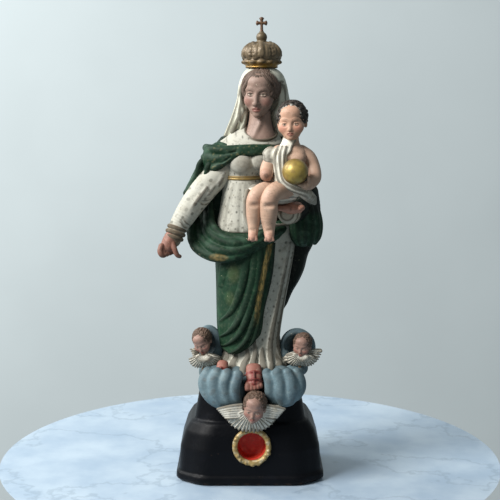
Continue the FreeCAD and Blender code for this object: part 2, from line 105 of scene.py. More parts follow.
class Clay:
    """A block of space holding one piece as its signed distance. low and high are its corners in mm."""

    def __init__(self, low, high, step):
        self.step = step * COARSE
        self.low = np.array(low, float)
        self.axes = [np.arange(a, b + self.step, self.step, dtype=np.float32) for a, b in zip(low, high)]
        self.field = np.full([len(axis) for axis in self.axes], FAR, np.float32)

    def window(self, low, high, reach):
        """The part of the block around a box, as slices and as broadcasting coordinates."""
        spans = []
        for axis, a, b in zip(self.axes, low, high):
            first, last = np.searchsorted(axis, (a - reach, b + reach))
            spans.append(slice(int(first), int(last)))
        x, y, z = (axis[span] for axis, span in zip(self.axes, spans))
        return tuple(spans), (x[:, None, None], y[None, :, None], z[None, None, :])

    def everywhere(self):
        """Coordinates over the whole block."""
        x, y, z = self.axes
        return x[:, None, None], y[None, :, None], z[None, None, :]

    def merge(self, spans, near, soft, cut):
        """Melts a form into part of the block, or cuts it away."""
        if cut:
            self.field[spans] = -melt(-self.field[spans], near, soft)
        else:
            self.field[spans] = melt(self.field[spans], near, soft)

    def ball(self, centre, radii, turn=None, soft=0.0, cut=False):
        """An ellipsoid, added or cut away."""
        centre, radii = np.array(centre, float), np.broadcast_to(np.array(radii, float), 3)
        size = radii if turn is None else np.sqrt(((turn * radii) ** 2).sum(1))
        spans, (x, y, z) = self.window(centre - size, centre + size, REACH + soft)
        x, y, z = x - centre[0], y - centre[1], z - centre[2]
        if turn is not None:
            x, y, z = (turn[0][i] * x + turn[1][i] * y + turn[2][i] * z for i in range(3))
        whole = np.sqrt((x / radii[0]) ** 2 + (y / radii[1]) ** 2 + (z / radii[2]) ** 2) + 1e-6
        slope = np.sqrt(
            (x / radii[0] ** 2) ** 2 + (y / radii[1] ** 2) ** 2 + (z / radii[2] ** 2) ** 2
        ) + 1e-6
        near = np.clip(whole * (whole - 1) / slope, -FAR, FAR).astype(np.float32)
        self.merge(spans, near, soft, cut)
        return self

    def tube(self, points, soft=0.0, cut=False, count=None, squash=None):
        """A round rod along a smooth line of (x, y, z, radius). squash = (axis, factor) flattens it."""
        rows = curve(points, count or 1 + 5 * (len(points) - 1))
        if squash:
            rows = rows.copy()
            rows[:, squash[0]] *= squash[1]
        reach = REACH + soft
        rims = rows[:, 3:4]
        low, high = (rows[:, :3] - rims).min(0), (rows[:, :3] + rims).max(0)
        if squash:
            low[squash[0]] /= squash[1]
            high[squash[0]] /= squash[1]
        spans, grids = self.window(low, high, reach)
        near = np.full(self.field[spans].shape, FAR, np.float32)
        if near.size == 0:
            return self
        axes = [
            g.ravel() * (squash[1] if squash and i == squash[0] else 1.0)
            for i, g in enumerate(grids)
        ]
        for a, b in zip(rows[:-1], rows[1:]):
            part = []
            for i, axis in enumerate(axes):
                first = np.searchsorted(axis, min(a[i] - a[3], b[i] - b[3]) - reach)
                last = np.searchsorted(axis, max(a[i] + a[3], b[i] + b[3]) + reach)
                part.append(slice(int(first), int(last)))
            part = tuple(part)
            x = axes[0][part[0]][:, None, None] - np.float32(a[0])
            y = axes[1][part[1]][None, :, None] - np.float32(a[1])
            z = axes[2][part[2]][None, None, :] - np.float32(a[2])
            run = (b - a)[:3].astype(np.float32)
            length = float(run @ run) + 1e-9
            t = np.clip((x * run[0] + y * run[1] + z * run[2]) / length, 0, 1)
            gap = np.sqrt((x - t * run[0]) ** 2 + (y - t * run[1]) ** 2 + (z - t * run[2]) ** 2)
            near[part] = np.minimum(near[part], gap - (a[3] + (b[3] - a[3]) * t))
        self.merge(spans, near, soft, cut)
        return self

    def keep(self, near, soft=0.0):
        """Cuts away all that lies outside a distance field over the whole block."""
        self.field = -melt(-self.field, -near, soft)
        return self

    def column(self, sections, relief=None, soft=0.0, cut=False, power=2.0):
        """A smooth upright solid through (z, centre x, centre y, half width, half depth). relief(angle, z)
        is how far its side stands proud, with angle 0 at the front and growing towards +X."""
        rows = np.array(sections, float)
        z_all = self.axes[2]
        first, last = np.searchsorted(z_all, (rows[0, 0] - REACH, rows[-1, 0] + REACH))
        z = z_all[first:last]
        steps = curve(rows, 24 * len(rows))
        order = np.argsort(steps[:, 0])
        cx, cy, rx, ry = (
            np.interp(z, steps[order, 0], steps[order, i]).astype(np.float32)
            for i in (1, 2, 3, 4)
        )
        x = self.axes[0][:, None, None] - cx
        y = self.axes[1][None, :, None] - cy
        whole = ((np.abs(x) / rx) ** power + (np.abs(y) / ry) ** power) ** (1 / power) + 1e-6
        near = (whole - 1) * np.sqrt(x * x + y * y) / whole
        if relief:
            near = near - relief(np.arctan2(x / rx, -y / ry), z[None, None, :])
        ends = np.maximum(rows[0, 0] - z, z - rows[-1, 0])[None, None, :]
        near = np.clip(-melt(-near, -ends, 1.0), -FAR, FAR).astype(np.float32)
        self.merge((slice(None), slice(None), slice(int(first), int(last))), near, soft, cut)
        return self

    def mesh(self, name, turn=None, shift=None):
        """Turns the block into a closed mesh object. self.points keeps its vertices before turn and shift."""
        field = np.minimum(self.field, FAR)
        for axis in range(3):
            for end in (0, -1):
                rim = [slice(None)] * 3
                rim[axis] = end
                field[tuple(rim)] = np.maximum(field[tuple(rim)], self.step)
        grid = openvdb.FloatGrid(FAR)
        grid.copyFromArray(field)
        points, quads = grid.convertToQuads(0.0)
        self.points = points.astype(float) * self.step + self.low
        placed = self.points if turn is None else self.points @ turn.T
        placed = placed if shift is None else placed + shift
        return new_mesh(name, placed, quads[:, ::-1])


def new_mesh(name, points, quads):
    """A smooth-shaded mesh object from points in millimetres."""
    data = bpy.data.meshes.new(name)
    count = len(quads)
    data.vertices.add(len(points))
    data.vertices.foreach_set("co", (points * MM).astype(np.float32).ravel())
    data.loops.add(4 * count)
    data.loops.foreach_set("vertex_index", quads.astype(np.int32).ravel())
    data.polygons.add(count)
    data.polygons.foreach_set("loop_start", np.arange(0, 4 * count, 4, dtype=np.int32))
    data.update(calc_edges=True)
    data.validate()
    data.shade_smooth()
    piece = bpy.data.objects.new(name, data)
    bpy.context.scene.collection.objects.link(piece)
    return piece


# ---------------------------------------------------------------- paint carried by the meshes
def gather(values, edges, count):
    """Each vertex's sum over its neighbours."""
    a, b = edges[:, 0], edges[:, 1]
    return np.bincount(a, values[b], count) + np.bincount(b, values[a], count)


def relax(points, edges, rounds):
    """Vertex positions after averaging each with its neighbours a number of times."""
    count = len(points)
    degree = np.maximum(gather(np.ones(count), edges, count), 1)
    for _ in range(rounds):
        points = np.stack(
            [gather(points[:, i], edges, count) / degree for i in range(points.shape[1])],
            1,
        )
    return points


def crest(piece, rounds=8):
    """How far each vertex stands proud of its surroundings, in mm: plus on ridges, minus in grooves."""
    data = piece.data
    count = len(data.vertices)
    points = np.zeros(count * 3, np.float32)
    data.vertices.foreach_get("co", points)
    normals = np.zeros(count * 3, np.float32)
    data.vertices.foreach_get("normal", normals)
    edges = np.zeros(len(data.edges) * 2, np.int32)
    data.edges.foreach_get("vertices", edges)
    points = points.reshape(-1, 3).astype(float) / MM
    edges = edges.reshape(-1, 2)
    proud = ((points - relax(points, edges, rounds)) * normals.reshape(-1, 3)).sum(1)
    return relax(proud[:, None], edges, 1)[:, 0]


def store(piece, name, values):
    """Keeps a number or a colour for each vertex as a named attribute."""
    values = np.asarray(values, np.float32)
    if values.ndim == 1:
        piece.data.attributes.new(name, "FLOAT", "POINT").data.foreach_set("value", values)
    else:
        four = np.ones((len(values), 4), np.float32)
        four[:, :3] = values
        piece.data.attributes.new(name, "FLOAT_COLOR", "POINT").data.foreach_set("color", four.ravel())


def step_up(values, low, high):
    """0 below low, 1 above high and smooth between. With low above high it falls instead."""
    t = np.clip((values - low) / (high - low), 0, 1)
    return t * t * (3 - 2 * t)


def coat(piece, base, *patches):
    """Gives the piece its paint: a base colour, then (mask, colour) patches laid over it in turn."""
    count = len(piece.data.vertices)
    colour = np.tile(np.array(base, float), (count, 1))
    for mask, over in patches:
        mask = np.clip(mask, 0, 1)[:, None]
        colour = colour * (1 - mask) + np.array(over, float) * mask
    store(piece, "paint", colour)
    store(piece, "crest", crest(piece))


# ---------------------------------------------------------------- finishing a piece
def finish_piece(piece, nodes, material, body="statue"):
    """Rides the piece on its body, hides the CAD nodes that it stands for and gives it its material."""
    piece.data.materials.append(MATERIALS[material])
    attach(piece, body)
    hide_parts(*nodes)
    return piece


# ---------------------------------------------------------------- materials
def srgb(red, green, blue):
    """Linear colour from display values of 0 to 255."""
    share = np.array((red, green, blue)) / 255
    return tuple(np.where(share <= 0.04045, share / 12.92, ((share + 0.055) / 1.055) ** 2.4))


class Shader:
    """A material's node tree, with short calls that add a node and wire it."""

    def __init__(self, name):
        self.material = bpy.data.materials.new(name)
        self.material.use_nodes = True
        self.tree = self.material.node_tree
        self.surface = self.tree.nodes["Principled BSDF"]
        self.place = self.tree.nodes.new("ShaderNodeTexCoord").outputs["Object"]

    def wire(self, socket, value):
        """Links a socket or sets its value."""
        if isinstance(value, bpy.types.NodeSocket):
            self.tree.links.new(value, socket)
        elif socket.type == "RGBA":
            socket.default_value = (*value[:3], 1)
        else:
            socket.default_value = value

    def add(self, kind, inputs=None, **settings):
        """A new node with its settings and inputs."""
        made = self.tree.nodes.new("ShaderNode" + kind)
        for key, value in settings.items():
            setattr(made, key, value)
        for key, value in (inputs or {}).items():
            self.wire(made.inputs[key], value)
        return made

    def math(self, operation, a, b=0.0, clamp=False):
        """A math node's result."""
        return self.add("Math", {0: a, 1: b}, operation=operation, use_clamp=clamp).outputs[0]

    def noise(self, size, detail=3.0, rough=0.55, shift=0.0):
        """Noise from 0 to 1 whose features measure about size, in mm."""
        place = self.add("Mapping", {"Vector": self.place, "Location": (shift, shift, shift)}).outputs[0]
        inputs = {"Vector": place, "Scale": 1 / (size * MM), "Detail": detail, "Roughness": rough}
        return self.add("TexNoise", inputs).outputs["Fac"]

    def cracks(self, size, width):
        """1 along the cracks of a dry paint film and 0 between them."""
        wander = self.add(
            "TexNoise",
            {"Vector": self.place, "Scale": 1.5 / (size * MM), "Detail": 2.0},
        ).outputs["Color"]
        bent = self.add("VectorMath", {0: wander, "Scale": size * MM * 0.5}, operation="SCALE").outputs[0]
        place = self.add("VectorMath", {0: self.place, 1: bent}, operation="ADD").outputs[0]
        inputs = {"Vector": place, "Scale": 1 / (size * MM)}
        edge = self.add("TexVoronoi", inputs, feature="DISTANCE_TO_EDGE").outputs["Distance"]
        return self.ramp(edge, width, 0.0)

    def ramp(self, value, low, high, start=0.0, end=1.0):
        """start below low, end above high and smooth between."""
        names = {"Value": value, "From Min": low, "From Max": high, "To Min": start, "To Max": end}
        if low > high:
            names.update({"From Min": high, "From Max": low, "To Min": end, "To Max": start})
        return self.add("MapRange", names, interpolation_type="SMOOTHSTEP").outputs[0]

    def mix(self, share, a, b, blend="MIX"):
        """Two colours mixed by share."""
        made = self.add("Mix", data_type="RGBA", blend_type=blend)
        self.wire(made.inputs["Factor"], share)
        self.wire(made.inputs["A"], a)
        self.wire(made.inputs["B"], b)
        return made.outputs["Result"]

    def attribute(self, name, output="Fac"):
        """A value that the mesh carries."""
        return self.add("Attribute", attribute_name=name).outputs[output]


GESSO = srgb(206, 200, 184)
BARE_WOOD = srgb(104, 76, 54)
DIRT_AND_SHADE = srgb(58, 50, 40)


def painted(
    name, under=GESSO, dirt_and_shade_strength=0.6, chips=0.5, rub=0.5, rough=0.62, gloss=0.3, grain=1.0, fade=1.0,
    dirt_and_shade_colour=DIRT_AND_SHADE,
):
    """Old brushed paint on carved wood. Grime and painted shade lie in the grooves, the ridges are rubbed
    through to what is under the paint, small flakes are lost everywhere, and the film is finely cracked."""
    s = Shader(name)
    proud = s.attribute("crest")
    gilt = s.attribute("gilt")
    cloudy = s.noise(14, 3)
    mottle = s.noise(2.6, 4, 0.62, 3.0)
    speck = s.noise(0.9, 3, 0.6, 7.0)
    paint = s.attribute("paint", "Color")
    paint = s.mix(
        s.ramp(cloudy, 0.35, 0.75, 0.0, 0.30), paint,
        s.mix(1.0, paint, (0.80, 0.78, 0.72), "MULTIPLY"),
    )
    paint = s.mix(s.ramp(mottle, 0.48, 0.72, 0.0, 0.34 * fade), paint, s.mix(0.5, paint, under))
    # Grime and painted shade gather in the grooves, where the surface lies below its surroundings.
    groove = s.ramp(s.math("ADD", proud, s.math("MULTIPLY", mottle, 0.10)), 0.04, -0.16)
    stain = s.ramp(s.noise(6, 4, 0.65, 11.0), 0.52, 0.78, 0.0, 0.5)
    dirt_and_shade_mask = s.math("MULTIPLY", s.math("MAXIMUM", groove, stain), dirt_and_shade_strength)
    paint = s.mix(dirt_and_shade_mask, paint, s.mix(0.72, paint, dirt_and_shade_colour))
    flake = s.ramp(
        s.math("ADD", s.noise(2.8, 4, 0.7, 17.0), s.math("MULTIPLY", cloudy, 0.18)),
        0.80 - 0.10 * chips,
        0.83 - 0.10 * chips,
    )
    ridge = s.math("ADD", s.math("MULTIPLY", proud, 2.2 * rub), s.math("MULTIPLY", mottle, 0.6))
    rubbed = s.ramp(ridge, 0.56, 0.70)
    lost = s.math("MAXIMUM", flake, s.math("MULTIPLY", rubbed, min(1.0, rub * 1.4)))
    bare = s.mix(s.ramp(speck, 0.45, 0.62), under, s.mix(0.55, under, BARE_WOOD))
    colour = s.mix(lost, paint, bare)
    crack = s.math("MULTIPLY", s.cracks(3.4, 0.05), s.ramp(s.noise(9, 2, 0.5, 23.0), 0.42, 0.62))
    colour = s.mix(s.math("MULTIPLY", crack, 0.35), colour, dirt_and_shade_colour)
    s.wire(s.surface.inputs["Base Color"], colour)
    kept = s.math("SUBTRACT", 1.0, lost, clamp=True)
    s.wire(s.surface.inputs["Metallic"], s.math("MULTIPLY", s.math("MULTIPLY", gilt, kept), 0.75))
    dull = s.math("ADD", s.math("MULTIPLY", mottle, 0.24), rough - 0.12)
    dull = s.math("ADD", dull, s.math("MULTIPLY", s.math("MAXIMUM", dirt_and_shade_mask, lost), 0.16))
    s.wire(
        s.surface.inputs["Roughness"],
        s.math("SUBTRACT", dull, s.math("MULTIPLY", gilt, 0.18), clamp=True),
    )
    s.surface.inputs["Specular IOR Level"].default_value = gloss
    height = s.math(
        "SUBTRACT",
        s.math("MULTIPLY", s.noise(1.1, 4, 0.65, 29.0), 0.10 * grain),
        s.math("MULTIPLY", lost, 0.10),
    )
    height = s.math("SUBTRACT", height, s.math("MULTIPLY", crack, 0.06))
    height = s.math("ADD", height, s.math("MULTIPLY", mottle, 0.10 * grain))
    bump = s.add("Bump", {"Height": height, "Strength": 0.7, "Distance": MM})
    s.wire(s.surface.inputs["Normal"], bump.outputs[0])
    return s.material


# ---------------------------------------------------------------- shared form helpers
def pleats(angle, z, radius, lines):
    """How far folds stand proud of a draped surface. Each line is a fold as (z, angle, half width, height)
    rows. Its section is a half round, so that neighbours meet in a sharp valley as carved folds do."""
    proud = np.float32(0)
    for line in lines:
        rows = curve(sorted(line), 8 * len(line))
        at, half, height = (
            np.interp(
                z, rows[:, 0], rows[:, i], 0 if i == 3 else None, 0 if i == 3 else None,
            ).astype(np.float32)
            for i in (1, 2, 3)
        )
        across = angle - np.radians(at)
        across = (across + math.pi) % (2 * math.pi) - math.pi
        t = across * radius / half
        proud = np.maximum(proud, height * np.sqrt(np.maximum(1 - t * t, 0)))
    return proud


def ring(centre, axis, radius, thick, count=16, squeeze=1.0):
    """Rows of a closed round tube about an axis, for Clay.tube."""
    axis = np.array(axis, float) / np.linalg.norm(axis)
    side = np.cross(axis, (0, 1, 0.2))
    side /= np.linalg.norm(side)
    up = np.cross(axis, side)
    turns = np.linspace(0, 2 * math.pi, count + 1)
    return [
        (*(np.array(centre) + radius * (math.cos(t) * side + squeeze * math.sin(t) * up)), thick)
        for t in turns
    ]


def mirrored(points):
    """The same rows on the other side of the middle plane."""
    return [(-p[0], *p[1:]) for p in points]


def near(points, centre, radius, feather=0.4):
    """1 within a radius of a place and 0 outside, for patches of paint."""
    gap = np.linalg.norm((points - np.array(centre)) / (np.array(radius) / np.max(radius)), axis=1)
    return step_up(gap, np.max(radius) + feather, np.max(radius) - feather)


def near_line(points, line, radius, feather=0.4):
    """1 within a radius of a smooth line of (x, y, z) and 0 outside."""
    rows = curve(line, 6 * len(line))
    best = np.full(len(points), np.inf)
    for a, b in zip(rows[:-1], rows[1:]):
        run = b - a
        t = np.clip((points - a) @ run / (run @ run + 1e-9), 0, 1)
        best = np.minimum(best, np.linalg.norm(points - a - t[:, None] * run, axis=1))
    return step_up(best, radius + feather, radius - feather)


def ripple(points, size, seed=0.0):
    """A smooth wandering value from about -1 to 1 over features of a size in mm."""
    x, y, z = (points / size * 2 * math.pi).T
    wave = (
        np.sin(x + 1.7 * np.sin(0.73 * y + seed) + seed)
        + np.sin(y + 1.9 * np.sin(0.81 * z + 2 * seed) + 1.3)
    )
    return (wave + np.sin(z + 1.6 * np.sin(0.77 * x + 3 * seed) + 2.1)) / 3


def patchy(points, size, seed, low, high):
    """Soft-edged patches of about size mm, 0 where the ripple is below low and 1 where it is above high."""
    return step_up(ripple(points, size, seed), low, high)


def dots(across, along, size, pitch, seed):
    """Rows of small brushed dots, staggered and uneven. across and along are surface distances in mm."""
    row = np.floor(along / pitch)
    shifted = across + (row % 2) * pitch * 0.5
    column = np.floor(shifted / pitch)
    scatter = np.sin(row * 12.9898 + column * 78.233 + seed) * 43758.5453
    scatter = scatter - np.floor(scatter)
    other = np.sin(row * 39.346 + column * 11.135 + seed) * 24634.6345
    other = other - np.floor(other)
    x = shifted - (column + 0.5 + 0.30 * (scatter - 0.5)) * pitch
    y = along - (row + 0.5 + 0.30 * (other - 0.5)) * pitch
    reach = size * (0.75 + 0.5 * other)
    return step_up(np.hypot(x, y * 0.85), reach + 0.35, reach - 0.35) * (0.55 + 0.45 * scatter)


# ---------------------------------------------------------------- heads
# A head is modelled about its own centre: chin at z = -20, crown at z = 20, face towards -Y.
ADULT = dict(
    eye_z=0.2, eye_x=5.3, nose_z=-7.6, nose_out=19.2, mouth_z=-12.3, chin_z=-17.0, jaw=7.2, cheek=5.0,
    brow=4.6,
)
INFANT = dict(
    eye_z=-2.4, eye_x=5.9, nose_z=-8.2, nose_out=18.0, mouth_z=-12.4, chin_z=-16.6, jaw=8.4,
    cheek=6.6, brow=2.6,
)


def face_clay(kind, step):
    """Skull, face and features of a calm, regular face."""
    k = kind
    infant = k is INFANT
    clay = Clay((-19, -24, -23), (19, 23, 24), step)
    clay.ball((0, 2.0, 4.5), (14.6, 17.0, 15.4) if infant else (13.6, 17.0, 15.4))
    clay.ball((0, -4.5, -3.5), (13.0, 12.0, 13.0) if infant else (11.6, 12.0, 13.6), soft=4)
    clay.ball((0, -7.8, -12.6), (k["jaw"], 7.4, 7.0), soft=4)
    clay.ball((0, -13.6, k["chin_z"]), (3.2, 2.6, 2.6), soft=2.5)
    clay.ball((0, -10.0, 9.5), (9.5, 6.2, 6.5), soft=5)
    for side in (-1, 1):
        clay.ball((side * 6.8, -9.6, k["nose_z"] + 1.8), (k["cheek"], 5.2, 5.4), soft=3.4)
        clay.ball(
            (side * (k["eye_x"] + 0.1), -18.0, k["eye_z"] + 0.3), (4.2, 3.6, 2.6), soft=2.6, cut=True,
        )
    brow = [
        (-9.4, -10.8, k["brow"] - 1.2, 1.2), (-6, -14.0, k["brow"] + 0.1, 1.3),
        (-2, -15.3, k["brow"] - 0.6, 1.1),
    ]
    for line in (brow, mirrored(brow)):
        clay.tube(line, soft=2.2)
    out = k["nose_out"]
    clay.tube(
        [
            (0, -14.4, k["brow"] - 0.6, 1.5), (0, -out + 2.6, (k["brow"] + k["nose_z"]) / 2, 1.4),
            (0, -out + 1.2, k["nose_z"] + 1.4, 1.6),
        ],
        soft=2.2,
    )
    clay.ball((0, -out + 1.5, k["nose_z"]), (2.0, 2.1, 1.8), soft=1.2)
    for side in (-1, 1):
        clay.ball((side * 2.1, -out + 3.2, k["nose_z"] - 0.3), (1.35, 1.9, 1.25), soft=1.0)
        clay.ball((side * 1.05, -out + 2.2, k["nose_z"] - 1.7), (0.6, 0.9, 0.5), soft=0.4, cut=True)
        eye = (side * k["eye_x"], -12.1, k["eye_z"])
        clay.ball(eye, 3.05, soft=0.5)
        for sign, thick in ((1, 0.62), (-1, 0.45)):
            lid = []
            for t in np.linspace(-1, 1, 7):
                a, b = math.radians(58 * t), math.radians(sign * (22 - 14 * t * t) + 1)
                reach = 3.2
                lid.append(
                    (
                        eye[0] + reach * math.sin(a), eye[1] - reach * math.cos(a) * math.cos(b),
                        eye[2] + reach * math.sin(b), thick,
                    )
                )
            clay.tube(lid, soft=0.5, count=13)
    mouth = k["mouth_z"]
    wide = 4.3 if not infant else 3.7
    clay.ball((0, -12.6, mouth - 0.2), (5.0, 3.4, 3.6), soft=2.4)
    upper = [
        (-wide, -14.0, mouth + 0.1, 0.35), (-1.7, -15.9, mouth + 1.0, 0.85),
        (0, -16.1, mouth + 0.7, 0.8), (1.7, -15.9, mouth + 1.0, 0.85),
        (wide, -14.0, mouth + 0.1, 0.35),
    ]
    lower = [
        (-wide + 0.7, -14.2, mouth - 0.5, 0.35), (0, -15.8, mouth - 1.25, 1.2),
        (wide - 0.7, -14.2, mouth - 0.5, 0.35),
    ]
    clay.tube(upper, soft=0.7)
    clay.tube(lower, soft=0.8)
    clay.tube(
        [(-wide, -14.5, mouth, 0.2), (0, -17.0, mouth - 0.15, 0.3), (wide, -14.5, mouth, 0.2)],
        soft=0.35,
        cut=True,
    )
    clay.tube([(0, -16.8, k["nose_z"] - 1.6, 0.3), (0, -16.6, mouth + 2.0, 0.45)], soft=0.8, cut=True)
    return clay


def face_paint(piece, points, kind, skin, hair):
    """Flesh with blushed cheeks, red lips, brows and painted eyes. points are in the head's own frame."""
    k = kind
    front = step_up(points[:, 1], -6, -10)
    cheeks = sum(
        near(points, (s * 7.6, -13.0, k["nose_z"] + 1.6), (4.6, 4.0, 3.8), 3.0)
        for s in (-1, 1)
    ) * 0.55
    lips = near(points, (0, -16.0, k["mouth_z"] - 0.1), (3.9, 2.6, 2.0), 0.5) * front
    patches = [(cheeks, (skin[0] * 1.05, skin[1] * 0.62, skin[2] * 0.6)), (lips * 0.7, srgb(136, 72, 64))]
    for side in (-1, 1):
        eye = np.array((side * k["eye_x"], -12.1, k["eye_z"]))
        ahead = eye + (0, -3.0, -0.1)
        white = near(points, ahead, (2.3, 2.0, 1.05), 0.3)
        lid = near_line(
            points,
            [ahead + (-2.5, 0.9, 0.5), ahead + (0, -0.3, 1.25), ahead + (2.5, 0.9, 0.5)],
            0.35,
            0.3,
        )
        brow = near_line(
            points,
            [
                (side * 9.0, -12.6, k["brow"] - 0.4), (side * 6, -15.2, k["brow"] + 0.9),
                (side * 2.6, -16.2, k["brow"]),
            ],
            0.55,
            0.45,
        )
        patches += [
            (white * 0.55, srgb(196, 182, 166)),
            (near(points, ahead, 0.95, 0.3) * 0.8, srgb(84, 68, 54)),
            (near(points, ahead, 0.4, 0.2) * 0.8, srgb(36, 28, 24)),
            (lid * 0.8, srgb(74, 52, 44)),
            (brow * 0.6, hair),
        ]
    shadow = step_up(points[:, 2], -14, -21) * 0.25
    coat(piece, skin, (shadow, (skin[0] * 0.7, skin[1] * 0.62, skin[2] * 0.58)), *patches)


def curl(clay, at, outward, size, thick, hand=1):
    """One small comma-shaped lock lying on the scalp."""
    outward = np.array(outward, float) / np.linalg.norm(outward)
    side = np.cross(outward, (0.3, 0.2, 1.0))
    side /= np.linalg.norm(side)
    up = np.cross(side, outward)
    rows = []
    for i in range(7):
        turn = hand * (0.6 + i * 0.85)
        reach = size * (1 - i / 9)
        rise = thick * 0.35 * i / 6
        rows.append(
            (
                *(at + reach * (math.cos(turn) * side + math.sin(turn) * up) + outward * rise),
                thick * (1 - 0.06 * i),
            )
        )
    clay.tube(rows, soft=0.35, count=15)


def curly_hair(clay, opening, seed, size=2.6, thick=1.25, count=90, floor=-9.0):
    """A cap of short curls that leaves the face clear. opening is the face's (centre, radii)."""
    clay.ball((0, 3.0, 5.0), (15.6, 17.4, 16.0))
    clay.ball(*opening, soft=1.0, cut=True)
    clay.keep(
        clay.everywhere()[2] * np.float32(-1) + np.float32(floor) + np.zeros_like(clay.field),
        soft=1.0,
    )
    golden = math.pi * (3 - math.sqrt(5))
    draw = np.random.default_rng(seed)
    for i in range(count):
        height = 1 - 2 * (i + 0.5) / count
        flat = math.sqrt(1 - height * height)
        way = vec(flat * math.cos(golden * i), flat * math.sin(golden * i), height)
        at = vec(0, 3.0, 5.0) + way * (15.0, 16.8, 15.2)
        inside = np.linalg.norm((at - opening[0]) / (np.array(opening[1]) + 0.2)) < 1
        if inside or at[2] < floor or way[2] < -0.75:
            continue
        grow = draw.uniform(0.85, 1.15)
        curl(clay, at, way, size * grow, thick * grow, draw.choice((-1, 1)))
    return clay


SKIN = srgb(152, 126, 114)
BROWN_HAIR = srgb(104, 86, 76)


def mother_head():
    """Head turned a little to her right and bent down, with parted waves under the veil."""
    size = 1.02
    middle = mark("mother_head") + (0.3, -0.3, -0.4)
    turn = turning(yaw=-14, pitch=7, roll=2) * size
    face = face_clay(ADULT, 0.36)
    piece = face.mesh("mother_face", turn, middle)
    face_paint(piece, face.points, ADULT, SKIN, BROWN_HAIR)
    finish_piece(piece, ["mother_head"], "flesh")
    hair = Clay((-21, -21, -15), (21, 24, 25), 0.4)
    hair.ball((0, 2.6, 4.4), (14.6, 17.6, 16.2))
    hair.ball((0, -15.5, -4.0), (11.4, 12.0, 15.4), soft=1.2, cut=True)
    for side in (-1, 1):
        for i in range(9):
            lock = []
            for k, bend in enumerate((3, 26, 50, 74, 97, 118)):
                y = -12.6 + 3.4 * i + (0.4 + 0.5 * k) * (1 - 0.1 * i) + 1.1 * math.sin(1.9 * k + 1.3 * i)
                girth = math.sqrt(max(1 - ((y - 2) / 18.4) ** 2, 0.05))
                fall = math.radians(bend)
                lock.append(
                    (
                        side * 15.0 * girth * math.sin(fall), y, 4.0 + 15.4 * girth * math.cos(fall),
                        2.5 - 0.12 * k,
                    )
                )
            hair.tube(lock, soft=0.5)
    x, y, z = hair.everywhere()
    strand = y + 0.35 * np.abs(x) - 0.25 * z + 0.8 * np.sin(0.5 * z)
    hair.field = hair.field + np.float32(0.22) * np.sin(strand * np.float32(2 * math.pi / 1.5))
    hair.tube([(0, -9, 19.6, 0.5), (0, 4, 22, 0.6)], soft=0.8, cut=True)
    piece = hair.mesh("mother_hair_waves", turn, middle)
    coat(piece, BROWN_HAIR)
    finish_piece(piece, ["mother_hair"], "hair")


# ---------------------------------------------------------------- pedestal and relic
def canted(clay, rows, soft):
    """An eight-sided solid with worn edges through rows of (z, half width, half depth, cant)."""
    rows = np.array(rows, float)
    x, y, z = clay.everywhere()
    wide, deep, cant = (np.interp(z, rows[:, 0], rows[:, i]).astype(np.float32) for i in (1, 2, 3))
    x, y = np.abs(x), np.abs(y)
    inside = melt(wide - x, deep - y, soft)
    inside = melt(inside, ((wide - cant - x) * 0.8 + deep - y) / 1.28, soft)
    ends = np.minimum(z - rows[0, 0], rows[-1, 0] - z)
    clay.field = np.minimum(clay.field, -melt(inside, ends, min(soft, 3.0)))


def pedestal():
    """Plinth, bell-shaped die and neck with worn edges, and the seat of the relic."""
    foot = mark("pedestal_plinth", 0.5, 0.5, 0.0)
    half = mark("pedestal_plinth", 1, 1, 0) - foot
    die = mark("pedestal_die", 1, 1, 1) - foot
    neck = mark("pedestal_neck", 1, 1, 1) - foot
    seat = mark("relic_lining", 0.5, 0.0, 0.5) - foot
    ledge = mark("pedestal_plinth", 0.5, 0.5, 1.0)[2]
    clay = Clay((-67, -53, -1), (67, 53, neck[2] + 1), 1.3)
    canted(
        clay,
        [(0, half[0] - 3, half[1] - 2.5, 19), (2.5, half[0], half[1], 20), (ledge, *half[:2], 20)],
        5,
    )
    canted(
        clay,
        [(ledge - 2, *die[:2], 19), (30, 60.8, 48, 19), (44, 56.5, 46, 18), (die[2], 50.5, 42.5, 16)],
        6,
    )
    canted(clay, [(die[2] - 6, *neck[:2], 14), (62, 47, 39, 14), (neck[2], 43, 37, 13)], 6)
    x, y, z = clay.everywhere()
    bore = np.maximum(np.hypot(x - seat[0], z - seat[2]) - 13.2, y - (seat[1] + 13))
    clay.field = np.maximum(clay.field, -bore)
    piece = clay.mesh("pedestal_block", None, foot)
    points = clay.points
    edge = step_up(points[:, 2], 3.5, 0.5) * patchy(points, 9, 2, 0.15, 0.5)
    worn = patchy(points, 31, 5, 0.35, 0.8) * 0.35
    coat(piece, srgb(7, 8, 12), (worn, srgb(14, 16, 24)), (edge, srgb(84, 58, 42)))
    finish_piece(piece, ["pedestal_plinth", "pedestal_die", "pedestal_neck"], "black")


